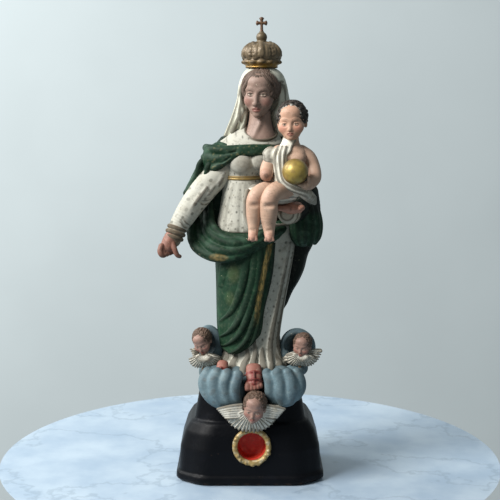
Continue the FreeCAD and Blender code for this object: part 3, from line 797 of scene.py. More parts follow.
def relic():
    """The red-lined dish in the front of the pedestal, and its ragged gilt rim."""
    seat = mark("relic_lining", 0.5, 0.0, 0.5)
    deep = 2 * (mark("relic_lining")[1] - seat[1])
    clay = Clay((-15, -6, -15), (15, deep + 1, 15), 0.5)
    x, y, z = clay.everywhere()
    around = np.hypot(x, z)
    cup = np.maximum(around - 13.3, np.maximum(y - deep, -y + 0.3))
    dish = -melt(-(around - 12.1), -(y - deep + 1.3), 4)
    clay.field = np.maximum(cup, -dish).astype(np.float32)
    piece = clay.mesh("relic_cup", None, seat)
    dust = patchy(clay.points, 7, 3, 0.1, 0.7) * 0.5
    coat(piece, srgb(196, 48, 34), (dust, srgb(214, 92, 66)))
    finish_piece(piece, ["relic_lining"], "red")
    clay = Clay((-19, -7, -19), (19, 2, 19), 0.45)
    clay.tube(ring((0, -2.0, 0), (0, 1, 0), 14.5, 2.3, 24), count=73)
    draw = np.random.default_rng(4)
    for i in range(30):
        turn = 2 * math.pi * (i + draw.uniform(-0.3, 0.3)) / 30
        reach = 14.4 + draw.uniform(-1.5, 1.9)
        at = (reach * math.cos(turn), -3.0 + draw.uniform(-0.7, 0.7), reach * math.sin(turn))
        clay.ball(at, draw.uniform(1.0, 2.0, 3), soft=0.8)
    piece = clay.mesh("relic_rim_gilt", None, seat)
    bare = patchy(clay.points, 6, 1, 0.1, 0.5) * 0.6
    coat(piece, srgb(176, 148, 92), (bare, srgb(200, 190, 160)))
    store(piece, "gilt", 0.35 - bare * 0.35)
    finish_piece(piece, ["relic_rim"], "gold")


# ---------------------------------------------------------------- clouds
CLOUD_BLUE = srgb(100, 122, 130)


def cloud_paint(piece, points, seed):
    """Grey blue, with pale and brown patches."""
    light = patchy(points, 16, seed, 0.0, 0.8) * 0.4
    brown = patchy(points, 11, seed + 4, 0.35, 0.75) * 0.35
    coat(piece, CLOUD_BLUE, (light, srgb(130, 150, 154)), (brown, srgb(84, 82, 78)))


def cloud_bank():
    """The bank under the mother's feet: soft puffs all round the slab's rim."""
    top = mark("cloud_top", 0.5, 0.5, 1.0)
    clay = Clay((-52, -48, -17), (52, 48, 5), 0.8)
    clay.column([(-12, 0, 1, 41, 35), (-6, 0, 0, 42, 38), (0, 0, -1, 40, 36)], soft=1)
    for i in range(17):
        turn = math.radians(-52 + 285 * i / 16)
        at = (41 * math.cos(turn), 1 + 37 * math.sin(turn), -5.5 + 1.5 * math.sin(3.1 * i))
        clay.ball(at, (7.6 + 1.2 * math.sin(2.3 * i), 7.2, 7.4), soft=1.6)
    for x, y, r in ((-30, -26, 9), (-14, -29, 8), (24, -27, 9), (38, -16, 8), (-40, -8, 7)):
        clay.ball((x, y, -3), (r, r * 0.9, 6.5), soft=2)
    piece = clay.mesh("cloud_bank", None, top)
    cloud_paint(piece, clay.points, 1)
    finish_piece(piece, ["cloud_top"], "blue")


def cloud_lobe(side, core, folds):
    """One lobe of cloud, carved like heavy drapery that rolls in at its foot."""
    middle = mark(f"cloud_lobe_{side}")
    narrow = 0.88
    clay = Clay((-28, -19, -21), (28, 17, 21), 0.6)
    for centre, radii in core:
        clay.ball(vec(*centre) * (narrow, 1, 1), vec(*radii) * (narrow, 1, 1), soft=4)
    for fold in folds:
        clay.tube([(narrow * x, y, z, 0.95 * thick) for x, y, z, thick in fold], soft=2.6)
    piece = clay.mesh(f"cloud_{side}_folds", None, middle)
    cloud_paint(piece, clay.points, 2 if side == "left" else 3)
    finish_piece(piece, [f"cloud_lobe_{side}"], "blue")


def cloud_lobes():
    """The two lobes that hang over the front of the pedestal."""
    cloud_lobe("right", [((-4, 1, 3), (19, 9, 11)), ((2, 1, -4), (16, 8, 11)), ((-14, 2, 6), (9, 8, 9))], [
        [
            (-18, -1, 13.5, 5.6), (-21, -3, 7, 6.2), (-19.5, -4, -1, 6.2), (-13, -4.5, -9, 5.6),
            (-4, -3.5, -14.5, 4.4),
        ],
        [
            (-9, -5, 14.5, 5.0), (-12.5, -7.5, 7, 5.8), (-10.5, -8.5, -2, 5.8), (-5, -7.5, -9.5, 5.2),
            (1, -5, -14.5, 4.2),
        ],
        [
            (1, -7, 14, 5.0), (-2.5, -9, 6, 5.4), (-1.5, -9.5, -3, 5.4), (3, -8, -10, 4.8),
            (7, -5, -14, 4.0),
        ],
        [(11, -7, 12.5, 5.0), (8, -9, 4, 5.2), (8.0, -8.5, -4, 5.2), (11, -6, -11.5, 4.4)],
    ])
    cloud_lobe("left", [((2, 1, 4), (18, 8, 10)), ((4, 1, -3), (14, 8, 10))], [
        [(-12, -5, 13, 4.4), (-9.5, -8, 5, 4.8), (-9, -7.5, -3, 4.8), (-5, -5, -10.5, 4.2)],
        [(-2, -8, 13.5, 5.0), (0.5, -9.5, 6, 5.2), (0.5, -9.5, -3, 5.6), (4, -6.5, -11.5, 5.4)],
        [(8, -7, 13.0, 5.0), (11.0, -8.5, 6, 5.8), (11.5, -8.0, -2, 6.6), (9.5, -5.5, -10.0, 6.2)],
        [(17, -3, 12.5, 4.8), (20.0, -3.5, 6, 5.4), (20.0, -2.5, -1, 5.6), (16.5, -2.5, -7.0, 5.4)],
    ])


def cloud_hood(side, mirror, dark, shift, grow):
    """A hollow scroll of cloud that stands behind a side cherub's head. The inside of its hollow is painted
    near black as shade, as strongly as dark says.
    """
    middle = mark(f"cloud_hood_{side}")
    wide, deep, tall = (mark(f"cloud_hood_{side}", 1, 1, 1) - middle) * grow
    middle = middle + (shift, 0, 0)
    clay = Clay((-23, -18, -22), (23, 14, 23), 0.6)
    clay.ball((0, 1, 0), (wide - 0.6, deep, tall - 0.6))
    clay.ball((mirror * 0.8, -8.5, 0.5), (wide - 4.0, 10.0, tall - 4.6), soft=2.2, cut=True)
    arch = []
    for degrees in (-48, -20, 15, 50, 85, 120, 155, 190, 225):
        turn = math.radians(degrees)
        thick = 2.6 + 0.7 * math.cos(turn) * mirror
        arch.append((mirror * (wide - 2.6) * math.cos(turn), -4.6, (tall - 2.8) * math.sin(turn), thick))
    clay.tube(arch, soft=1.6)
    clay.ball((-mirror * (wide - 5), -6.5, -tall + 8), (5, 4.5, 4.5), soft=1.5)
    clay.ball((mirror * (wide - 4), -5.0, -tall + 9), (5.5, 5, 5.5), soft=1.5)
    piece = clay.mesh(f"cloud_{side}_hood", None, middle)
    points = clay.points
    # Painted shade: the deep inside of the hollow is painted near black, by the share dark.
    hood_shade = (
        step_up(points[:, 1], -3.5, 2.0)
        * step_up((points[:, 0] / (wide - 3.5)) ** 2 + (points[:, 2] / (tall - 4)) ** 2, 1.0, 0.75)
        * (points[:, 1] < 4)
    )
    light = patchy(points, 12, 6, 0.0, 0.8) * 0.35
    coat(piece, CLOUD_BLUE, (light, srgb(126, 144, 148)), (hood_shade * dark, srgb(26, 30, 32)))
    finish_piece(piece, [f"cloud_hood_{side}"], "blue")


# ---------------------------------------------------------------- cherubs
FEATHER = srgb(206, 202, 190)


def feather(clay, root, tip, width, belly=0.0):
    """One narrow feather with a rounded end, lying from root to tip."""
    root, tip = np.array(root, float), np.array(tip, float)
    middle = (root + tip) / 2 + (0, -belly, 0)
    clay.tube([(*root, width * 0.7), (*middle, width), (*tip, width * 0.75)], soft=0.15, count=7)


def fan(clay, hub, start, end, count, reach, width, front, belly=1.0, inner=0.25):
    """Feathers all round a hub in the plane that faces the viewer. reach(t) is each one's length, with
    t from 0 to 1. Angles are in degrees from straight down, growing towards +X."""
    for i in range(count):
        t = i / (count - 1)
        turn = math.radians(start + (end - start) * t)
        way = np.array((math.sin(turn), 0, -math.cos(turn)))
        length = reach(t)
        feather(
            clay, hub + way * length * inner + (0, front, 0),
            hub + way * length + (0, front + 1.0, 0), width, belly,
        )


def cherub(side, size, yaw, pitch, roll, lift, seed):
    """A winged infant's head with brown curls."""
    middle = mark(f"cherub_head_{side}") + lift
    turn = turning(yaw, pitch, roll) * size
    face = face_clay(INFANT, 0.55)
    for s in (-1, 1):
        face.ball((s * 14.2, 0.5, -3.0), (2.0, 3.2, 4.0), soft=1.0)
    piece = face.mesh(f"cherub_{side}_face", turn, middle)
    face_paint(piece, face.points, INFANT, srgb(150, 118, 106), BROWN_HAIR)
    finish_piece(piece, [f"cherub_head_{side}"], "flesh")
    hair = curly_hair(
        Clay((-19, -19, -12), (19, 22, 23), 0.6), (vec(0, -17.0, -5.0), (11.4, 12.0, 14.6)), seed,
        3.4, 1.75, 70,
    )
    piece = hair.mesh(f"cherub_{side}_curls", turn, middle)
    coat(piece, srgb(92, 72, 60), (patchy(hair.points, 9, seed, 0.3, 0.8) * 0.5, srgb(128, 106, 92)))
    finish_piece(piece, [f"cherub_head_{side}"], "hair")


def feather_paint(piece, points, seed):
    """Bone white with warmer patches."""
    warm = patchy(points, 10, seed, 0.1, 0.8) * 0.5
    coat(piece, FEATHER, (warm, srgb(186, 176, 156)))


def front_wings():
    """A ruff of narrow feathers under the chin that runs out into two short level wings."""
    middle = mark("cherub_wings_front", 0.5, 0.0, 1.0)
    clay = Clay((-34, -6, -26), (34, 19, 5), 0.45)
    hub = vec(0, 0, -1.5)
    for depth in (6.5, 11.5):
        clay.ball((0, depth, -7.5), (15.0, 5, 10.0), soft=3)
        for s in (-1, 1):
            clay.ball((s * 16, depth - 1, -4.2), (11.5, 3.8, 3.8), turning(roll=s * -8), soft=3)
    fan(clay, hub, -62, 62, 27, lambda t: 20.0 + 2.5 * abs(2 * t - 1), 1.25, 1.6, 1.4, 0.25)
    fan(clay, hub, -70, 70, 25, lambda t: 15.0, 1.15, -0.4, 1.2, 0.3)
    for s in (-1, 1):
        for i in range(6):
            z = 1.8 - 2.1 * i
            line = [
                (s * 8, 0.2, z, 1.5), (s * 18, -0.8, z - 1.0 + 0.1 * i, 1.45),
                (s * (28.4 - 1.3 * i), 1.2, -2.0 - 1.5 * i, 1.1),
            ]
            clay.tube(line, soft=0.15)
    combed(clay, hub, 40, 0.42, 0.5)
    piece = clay.mesh("cherub_front_ruff", None, middle)
    feather_paint(piece, clay.points, 1)
    finish_piece(piece, ["cherub_wings_front"], "white")


def combed(clay, hub, count, depth, lowest=-1.0):
    """Grooves that run out from a hub, as between narrow feathers. They stop where the cosine of the
    angle from straight down falls to lowest."""
    x, _, z = clay.everywhere()
    far = np.hypot(x - hub[0], z - hub[2]) + 1e-3
    turn = np.arctan2(x - hub[0], hub[2] - z)
    weight = depth * np.clip(far / 8, 0, 1) * np.clip(((hub[2] - z) / far - lowest) / 0.12, 0, 1)
    clay.field = clay.field + (weight * np.sin(turn * count)).astype(np.float32)


def side_wings(side, hub, start, end, outer, tip):
    """The ruff of a side cherub, with one wing that shows beyond the cheek."""
    middle = mark(f"cherub_wings_{side}")
    clay = Clay((-26, -14, -14), (26, 13, 16), 0.45)
    half = mark(f"cherub_wings_{side}", 1, 1, 1) - middle
    clay.ball((0, 2.5, -0.5), (half[0] - 4.0, half[1] - 2.5, half[2] - 2.6))
    hub = np.array(hub, float)
    fan(clay, hub, start, end, 21, lambda t: outer + 1.2 * math.sin(9 * t), 1.3, -4.5, 1.6, 0.3)
    fan(clay, hub, start + 8, end - 8, 17, lambda t: outer * 0.74, 1.15, -6.5, 1.4, 0.3)
    for i in range(5):
        root = hub + (math.copysign(5, tip[0]), 0.5, -i * 1.6)
        clay.tube(
            [
                (*root, 1.3),
                (*((root + tip) / 2 + (0, -1.2, 0.6 - 0.5 * i)), 1.3),
                (*(np.array(tip) + (-math.copysign(0.8 * i, tip[0]), 0, -1.9 * i)), 0.9),
            ],
            soft=0.3,
        )
    combed(clay, hub, 40, 0.4)
    piece = clay.mesh(f"cherub_{side}_ruff", None, middle)
    feather_paint(piece, clay.points, 2)
    finish_piece(piece, [f"cherub_wings_{side}"], "white")


def cherubs():
    """The three cherub heads with their ruffs."""
    cherub("front", 0.61, -9, 12, 6, (0.2, -0.5, -0.6), 3)
    cherub("right", 0.52, -16, 24, -14, (0, 1.0, 0.6), 5)
    cherub("left", 0.50, -14, 8, 6, (0.4, 1.0, 0.4), 7)
    front_wings()
    side_wings("right", (-3.5, 1.5, 7.0), -62, 72, 13.5, (-14.5, 0.5, 9.0))
    side_wings("left", (0.5, 0.5, 7.0), -72, 62, 13.5, (18.0, -1.0, 7.5))


# ---------------------------------------------------------------- draped garments
# Lower garments are modelled about the middle of the cloud's top, upper ones about the belt's middle.
WHITE = srgb(190, 188, 176)
GREEN = srgb(22, 52, 34)
GOLD = srgb(150, 128, 76)
DOT = srgb(62, 62, 56)


def feet_mark():
    """The middle of the top of the cloud, on which the skirts stand."""
    return mark("cloud_top", 0.5, 0.5, 1.0)


def waist_mark():
    """The middle of the belt."""
    return mark("belt")


def tunic_skirt():
    """The white tunic below the swag: smooth where it shows beside the apron, and fluted at its hem."""
    clay = Clay((-40, -42, -5), (44, 28, 128), 0.75)
    lines = []
    draw = np.random.default_rng(11)
    for i in range(21):
        at = -172 + 350 * i / 20 + draw.uniform(-4, 4)
        tall = draw.uniform(16, 30)
        wide = draw.uniform(3.4, 5.0)
        lines.append(
            [
                (-4, at, wide, 5.2), (5, at + draw.uniform(-2, 2), wide * 0.9, 4.4),
                (tall * 0.6, at + draw.uniform(-4, 4), wide * 0.7, 2.0), (tall, at, 1.8, 0.0),
            ]
        )
    lines.append([(4, 34, 4, 2.0), (30, 40, 3.4, 2.2), (70, 49, 3.0, 1.0), (110, 56, 3, 0.4)])
    lines.append([(4, 62, 4, 2.4), (26, 60, 3.2, 2.0), (60, 66, 2.6, 1.0), (100, 72, 3, 0.3)])
    sections = [
        (-3.5, -2, -7, 29, 27), (3, -1, -5.5, 27.5, 25.5), (9, -0.5, -3, 26, 22.5),
        (24, 0, -1, 24, 20.5), (52, 3, 1, 25, 19.5), (80, 5, 1, 28, 19), (108, 8, 0, 29, 18.5),
        (126, 7, -3, 28, 18),
    ]
    clay.column(sections, lambda angle, z: pleats(angle, z, 26, lines))
    piece = clay.mesh("tunic_hem_and_skirt", None, feet_mark())
    points = clay.points
    x, y, z = points.T
    around = np.arctan2(x - 2, -y) * 26
    spots = dots(around, z, 0.85, 7.0, 3) * step_up(z, 10, 18)
    edge = step_up(z, -1.2, -2.8)
    # Patchy soil, and a darkening of the right side and the lower right that is painted shade as well as
    # soil.
    dirt = (
        patchy(points, 13, 2, 0.1, 0.8) * 0.30 + step_up(z, 26, 8) * step_up(x, -4, 18) * 0.35
        + step_up(x, 12, 24) * step_up(z, 10, 30) * 0.4
    )
    coat(piece, WHITE, (dirt, srgb(134, 130, 118)), (spots * 0.8, DOT), (edge * 0.8, srgb(112, 90, 62)))
    finish_piece(piece, ["tunic_skirt"], "white")


def apron_edge(clay, outline):
    """Cuts away what lies beyond a border drawn on the front, as rows of (x, z), kept on its left."""
    rows = curve(outline, 12 * len(outline))
    best = np.full((len(clay.axes[0]), len(clay.axes[2])), np.inf, np.float32)
    sign = np.ones_like(best)
    px, pz = clay.axes[0][:, None], clay.axes[2][None, :]
    for (ax, az), (bx, bz) in zip(rows[:-1], rows[1:]):
        rx, rz = bx - ax, bz - az
        t = np.clip(((px - ax) * rx + (pz - az) * rz) / (rx * rx + rz * rz + 1e-9), 0, 1)
        gap = np.hypot(px - ax - t * rx, pz - az - t * rz)
        side = np.where(rx * (pz - az) - rz * (px - ax) >= 0, -1, 1)
        closer = gap < best
        sign = np.where(closer, side, sign)
        best = np.minimum(best, gap)
    return (best * sign)[:, None, :] + np.zeros_like(clay.field)


def mantle_apron():
    """The green mantle across the thighs: a smooth knee, and folds that sweep down from the Child's side and
    round under it, with a gilt stripe beside the turned edge."""
    clay = Clay((-38, -36, 10), (30, 26, 112), 0.55)
    lines = [
        [
            (18, -70, 3, 1.0), (22, -34, 3.4, 2.2), (31, -8, 3.6, 2.8), (48, 9, 3.6, 2.8),
            (74, 19, 3.4, 2.6), (108, 24, 3.2, 2.0),
        ],
        [
            (26, -66, 3, 0.8), (33, -30, 3.4, 2.2), (45, -8, 3.6, 2.6), (64, 6, 3.4, 2.5),
            (88, 13, 3.2, 2.1), (110, 15, 3, 1.6),
        ],
        [
            (40, -60, 3, 0.4), (48, -32, 3.2, 1.5), (60, -16, 3.4, 1.9), (80, -5, 3.2, 1.7),
            (106, 1, 3, 1.0),
        ],
        [
            (12, -60, 3.2, 2.2), (14, -30, 3.6, 2.8), (20, -4, 3.6, 2.8), (30, 14, 3.4, 2.6),
            (50, 26, 3.2, 2.6), (76, 33, 3, 2.4), (110, 38, 3, 2.2),
        ],
        [
            (13, 8, 3.2, 2.4), (22, 24, 3.2, 2.6), (40, 35, 3, 2.4), (70, 45, 2.8, 2.4),
            (110, 52, 2.8, 2.4),
        ],
        [(70, -62, 5, 0.6), (84, -50, 5, 1.4), (104, -38, 5, 1.0)],
        [(14, 150, 5, 1.6), (60, 146, 6, 2.2), (110, 140, 6, 2.0)],
        [(14, -150, 5, 1.6), (60, -146, 6, 2.2), (110, -140, 6, 2.0)],
        [(14, -105, 4, 1.6), (50, -112, 5, 1.8), (110, -104, 5, 1.2)],
    ]
    sections = [
        (12, -9.5, -7, 19.5, 20), (20, -9.5, -6.5, 20, 20.5), (36, -9, -5.5, 22, 21),
        (52, -8, -4, 23.5, 21), (82, -5.5, -3, 26.5, 22.5), (112, -5.5, -3, 28, 23),
    ]
    clay.column(sections, lambda angle, z: pleats(angle, z, 25, lines), power=2.1)
    border = [
        (-34, 38), (-31, 24), (-26, 15.5), (-15, 13.2), (-6, 17.5), (2.5, 25), (10, 32.5), (13.5, 42),
        (16, 62), (19.5, 84), (24, 112),
    ]
    clay.field = -melt(-clay.field, -apron_edge(clay, border), 1.4)
    piece = clay.mesh("mantle_apron_folds", None, feet_mark())
    points = clay.points
    x, y, z = points.T
    front = step_up(y, 0, -6)
    stripe = near_line(
        points * (1, 0, 1),
        [(2, 0, 34), (4.5, 0, 56), (8.5, 0, 80), (12.5, 0, 98), (15.5, 0, 112)],
        2.3,
        0.8,
    ) * front
    stripe = stripe * (
        0.35 + 0.65 * step_up(ripple(points * (1.6, 1, 0.5), 4, 3), -0.3, 0.2)
    ) * step_up(z, 34, 58)
    dark = step_up(x - (4.0 + 0.125 * (z - 40)), 3.4, 7.5) * front
    pale = patchy(points, 17, 1, 0.0, 0.8) * 0.35
    gold_wear = (
        near(points, (-17, -26, 84), (5, 9, 8), 4) * 0.30
        + near(points, (-20, -24, 62), (4, 9, 6), 4) * 0.22
    )
    green_dark = srgb(14, 30, 20)
    coat(
        piece, GREEN, (pale, srgb(48, 86, 60)), (gold_wear, srgb(92, 98, 58)),
        (dark * 0.85, green_dark), (stripe, GOLD),
    )
    store(piece, "gilt", stripe * 0.35)
    finish_piece(piece, ["mantle_apron"], "green")


def mantle_swag():
    """The bundle of folds from the right arm down over the hip and up under the Child's feet."""
    clay = Clay((-52, -40, -72), (44, 24, -8), 0.55)
    inner = [
        (-26, 6, -10), (-28, 0, -26), (-26, -9, -41), (-14, -18.5, -50), (3, -22, -50), (20, -20, -44),
    ]
    outer = [
        (-42, 10, -30), (-45.5, 2, -42), (-42, -8, -58), (-27, -17, -66.5), (-6, -22.5, -66),
        (17, -20, -54),
    ]
    depth = np.array((15, 14, 6, 0, 0, 0))
    for t, thick in ((0, 3.2), (0.22, 4.0), (0.44, 3.4), (0.66, 4.4), (0.84, 3.6), (1.0, 4.4)):
        line = np.array(inner) * (1 - t) + np.array(outer) * t
        sink = math.sin(math.pi * t)
        rows = []
        for p, back, w in zip(line, depth, (0.7, 0.85, 1.0, 1.1, 1.0, 0.7)):
            rows.append((p[0], p[1] + back * sink - (1.5 if t in (0.22, 0.66) else 0.3), p[2], thick * w))
        clay.tube(rows, soft=0.6)
    clay.tube(
        [(-30, 0, -55, 8), (-18, -10, -56, 10.5), (2, -14, -57, 11), (20, -13, -50, 8), (33, -4, -44, 7)],
        soft=3,
    )
    clay.tube([(14, -21.5, -51, 3.2), (24, -19, -47, 3.4), (34, -10, -44, 3.5)], soft=1)
    x, y, z = clay.everywhere()
    drift = 0.35 * np.sin(0.55 * x + 0.9 * z + 0.3 * y)
    clay.field = clay.field + drift.astype(np.float32) * np.float32(0.35)
    piece = clay.mesh("mantle_swag_folds", None, waist_mark())
    points = clay.points
    pale = patchy(points, 13, 2, 0.0, 0.8) * 0.4
    patch = (
        near(points, (-20, -22, -67), (9, 7, 3.4), 1.6)
        * (0.5 + 0.5 * patchy(points, 4, 1, -0.2, 0.3))
    )
    rim = (
        near_line(points, [(-46, -4, -50), (-42, -13, -61), (-33, -18, -67)], 1.6, 0.9) * 0.45
        * patchy(points, 4, 5, -0.1, 0.4)
    )
    # Painted shade: the set-back upper folds, in the hollow between arm and torso, are painted near black.
    hollow = step_up(points[:, 1], -6, 6) * step_up(points[:, 2], -60, -46)
    coat(
        piece, GREEN, (pale, srgb(58, 92, 70)), (patch * 0.8, srgb(132, 112, 70)),
        (rim, srgb(150, 146, 120)), (hollow * 0.8, srgb(9, 20, 13)),
    )
    finish_piece(piece, ["mantle_swag"], "green")


def mantle_back():
    """The mantle's long fall behind: green towards her right hand, and near black behind the Child, partly
    its dark paint and partly painted shade.
    """
    clay = Clay((-62, -10, 4), (66, 38, 203), 0.85)
    draw = np.random.default_rng(23)
    lines = []
    for i in range(13):
        at = 100 + 160 * i / 12 + draw.uniform(-3, 3)
        wide = draw.uniform(4.0, 6.0)
        tall = draw.uniform(1.4, 2.6)
        lines.append(
            [
                (6, at + draw.uniform(-5, 5), wide, tall),
                (70, at + draw.uniform(-3, 3), wide, tall * 1.1),
                (140, 180 + (at - 180) * 0.9, wide * 1.1, tall * 0.8),
                (196, 180 + (at - 180) * 0.7, wide * 0.7, 0.3),
            ]
        )
    sections = [
        (6, -2, 6, 22.5, 14), (40, -1, 6, 25, 16), (52, 1, 7, 28.5, 17), (62, 3.0, 8, 31, 18),
        (72, 6.0, 9, 34, 19), (82, 8.0, 9, 36.5, 20),
        (95, 8.0, 9, 40, 20.5), (109, 5.0, 9, 49, 21), (138, 4.5, 9, 54, 21), (162, 0.5, 9, 47.5, 20),
        (186, -1.5, 7, 36.5, 18), (200, -0.5, 7, 27, 12),
    ]
    clay.column(sections, lambda angle, z: pleats(angle, z, 34, lines), power=2.2)
    x, y, z = clay.everywhere()
    face = y - (1.0 + 1.6 * np.sin(0.21 * x + 0.02 * z)) + np.zeros_like(clay.field)
    clay.field = -melt(-clay.field, face, 3.0)
    piece = clay.mesh("mantle_long_back", None, feet_mark())
    points = clay.points
    # Near black towards +X, behind the Child: partly the mantle's dark paint, partly painted shade.
    dark = step_up(points[:, 0], -4, 12)
    pale = patchy(points, 19, 3, 0.0, 0.8) * 0.3
    coat(piece, srgb(30, 52, 40), (pale, srgb(54, 78, 62)), (dark, srgb(15, 19, 17)))
    finish_piece(piece, ["mantle_back"], "green")


def tunic_bodice():
    """The white bodice with its two breasts, and the belly of the tunic below the belt."""
    clay = Clay((-30, -30, -48), (34, 26, 36), 0.5)
    sections = [
        (-47, 1, 1, 24, 19), (-42, 1, 1, 23.6, 19.4), (-30, 1, 1, 21.8, 18.2),
        (-19, 0.5, 0.5, 19.5, 17), (-6, 0, 0, 17, 15), (0, 0, 0, 16, 14.2),
        (6, 0.5, -0.3, 17.5, 14.4), (14, 1.5, -0.5, 20, 14), (24.6, 3, 2, 24, 12.5),
        (33.6, 6, 6, 19, 11),
    ]
    lines = [
        [(-47, -56, 4, 1.2), (-24, -48, 3, 0.9), (-4, -30, 1.8, 0.2)],
        [(-47, -22, 4, 0.7), (-22, -18, 3, 0.4), (-4, -10, 1.6, 0.1)],
        [(-47, 8, 4, 0.7), (-22, 6, 3, 0.5), (-4, 4, 1.6, 0.1)],
        [(-47, 34, 4, 0.9), (-22, 28, 3, 0.7), (-4, 20, 1.6, 0.1)],
    ]
    clay.column(sections, lambda angle, z: pleats(angle, z, 19, lines))
    for x, y, z, size in ((-1.6, -12.2, 13.0, 10.2), (14.4, -11.0, 15.0, 8.4)):
        clay.ball((x, y, z), (size, 7.4, size), soft=1.6)
        rim = [
            (x + size * 1.0 * math.cos(t), y + 0.4, z + size * 1.0 * math.sin(t), 0.8)
            for t in np.linspace(-2.9, -0.2, 9)
        ]
        clay.tube(rim, soft=0.8)
    piece = clay.mesh("tunic_bodice_and_belly", None, waist_mark())
    points = clay.points
    x, y, z = points.T
    around = np.arctan2(x, -y) * 18
    spots = (
        dots(around, z, 0.72, 6.6, 5) * (1 - near(points, (-1.6, -16, 13), (9, 8, 9), 1))
        * (1 - near(points, (14, -16, 15), (8, 8, 8), 1))
    )
    dirt = (
        near(points, (-1.6, -20, 13.5), (6.0, 5, 5.6), 2.5) * 0.5
        + patchy(points, 12, 4, 0.2, 0.9) * 0.2
    )
    coat(piece, WHITE, (dirt, srgb(160, 154, 140)), (spots * 0.85, DOT))
    finish_piece(piece, ["tunic_bodice"], "white")


def belt():
    """A flat gilt sash with a groove along its middle."""
    clay = Clay((-22, -20, -5), (22, 20, 5), 0.4)
    clay.column(
        [(-1.9, 0, 0, 17.0, 15.0), (0, 0, 0, 17.4, 15.4), (1.9, 0, 0, 17.2, 15.2)],
        lambda angle,
        z: -0.5 * np.exp(-((z / 0.45) ** 2)),
        soft=0.5,
    )
    piece = clay.mesh("belt_sash", None, waist_mark())
    bare = patchy(clay.points, 6, 2, 0.0, 0.6) * 0.55
    coat(piece, srgb(168, 140, 82), (bare, srgb(150, 132, 100)))
    store(piece, "gilt", 0.45 - bare * 0.5)
    finish_piece(piece, ["belt"], "gold")


def yoke():
    """The white collar that lies over the shoulders, with a brown edge round the neck."""
    middle = mark("yoke")
    clay = Clay((-36, -22, -14), (37, 20, 18), 0.5)
    clay.column(
        [
            (-9, -1, 0, 33, 17.5), (-4, -1, 0, 31, 17), (1, 0, 1, 28, 15.6), (6, 2, 3, 23, 13.8),
            (11, 4, 6, 18.6, 11.5), (15, 5, 8, 15.5, 9.6),
        ]
    )
    x, y, z = clay.everywhere()
    lower = -1.6 + 0.045 * x - 0.0040 * (x - 4) ** 2 + 0.45 * np.sin(0.55 * x) + 0.12 * (y + 15)
    clay.field = -melt(-clay.field, z - lower.astype(np.float32), 1.0)
    neckline = []
    for turn in np.linspace(0, 2 * math.pi, 21):
        neckline.append(
            (8.0 + 14.2 * math.sin(turn), -1.4 - 11.6 * math.cos(turn), 8.6 - 5.2 * math.cos(turn), 1.15)
        )
    clay.tube([(*p[:3], 1.0) for p in neckline], soft=0.6, count=81)
    clay.ball((8.0, -4, 13), (13.2, 12.5, 9.5), soft=0.8, cut=True)
    piece = clay.mesh("yoke_collar", None, middle)
    points = clay.points
    brown = near_line(points, [p[:3] for p in neckline], 1.5, 0.5)
    spots = dots(points[:, 0], points[:, 2] * 1.3 - points[:, 1] * 0.6, 0.6, 5.2, 2)
    dirt = patchy(points, 10, 3, 0.2, 0.9) * 0.3
    coat(piece, WHITE, (dirt, srgb(168, 164, 150)), (spots * 0.7, DOT), (brown * 0.85, srgb(96, 82, 66)))
    finish_piece(piece, ["yoke"], "white")


def mantle_shoulders():
    """The mantle's upper edge: a roll on her right shoulder that runs over the breast as a band of folds."""
    clay = Clay((-40, -26, -6), (48, 30, 38), 0.5)
    clay.column(
        [
            (8, 5, 5, 30, 15), (15, 5, 5, 34.5, 17.5), (23, 5, 5, 35, 17.6), (29, 6, 5, 31, 16),
            (31.5, 7, 6, 25, 12),
        ]
    )
    clay.ball((-25, -2, 16), (10.5, 11.5, 12.0), soft=4)
    clay.ball((2, -14, 4.6), (20.5, 17, 16.4), soft=1.6, cut=True)
    folds = [
        (
            [
                (-32, 6, 25), (-28, -7, 24.5), (-18, -12.6, 24), (-5, -14.4, 24.6), (9, -14.8, 25.2),
                (23, -12, 24.6), (35, -5, 22),
            ],
            4.0,
        ),
        (
            [
                (-34, 4, 17), (-29.5, -7.5, 16.5), (-20, -13.0, 17), (-8, -14.6, 20.8),
                (6, -15.2, 22.2), (20, -13.2, 21.6), (34, -6, 19),
            ],
            3.4,
        ),
        ([(-33, 4, 9), (-28.5, -7, 8), (-22, -12.2, 9.5), (-14.5, -14.4, 14.8), (-6, -15.4, 19.0)], 3.2),
    ]
    for line, thick in folds:
        clay.tube(
            [(*p, thick * (0.85 if i in (0, len(line) - 1) else 1.0)) for i, p in enumerate(line)],
            soft=2.2,
        )
    for line in (
        [(-26, -14, 20.4, 0.8), (-17, -17.2, 20.6, 0.9), (-6, -18.2, 23.0, 0.7)],
        [(-24, -15.0, 12.6, 0.8), (-17, -17.2, 14.0, 0.8), (-11, -18, 18.0, 0.6)],
    ):
        clay.tube(line, soft=0.8, cut=True)
    piece = clay.mesh("mantle_breast_band", None, waist_mark())
    points = clay.points
    pale = patchy(points, 12, 4, 0.0, 0.8) * 0.4
    gold = patchy(points, 5, 1, 0.35, 0.7) * 0.45 * step_up(points[:, 1], -10, -14)
    # Painted shade: the right end of the band, over her left shoulder, is painted darker.
    dark = step_up(points[:, 0], 20, 34) * 0.7
    coat(piece, GREEN, (pale, srgb(72, 100, 82)), (gold, srgb(126, 120, 82)), (dark, srgb(18, 26, 22)))
    finish_piece(piece, ["mantle_shoulders"], "green")


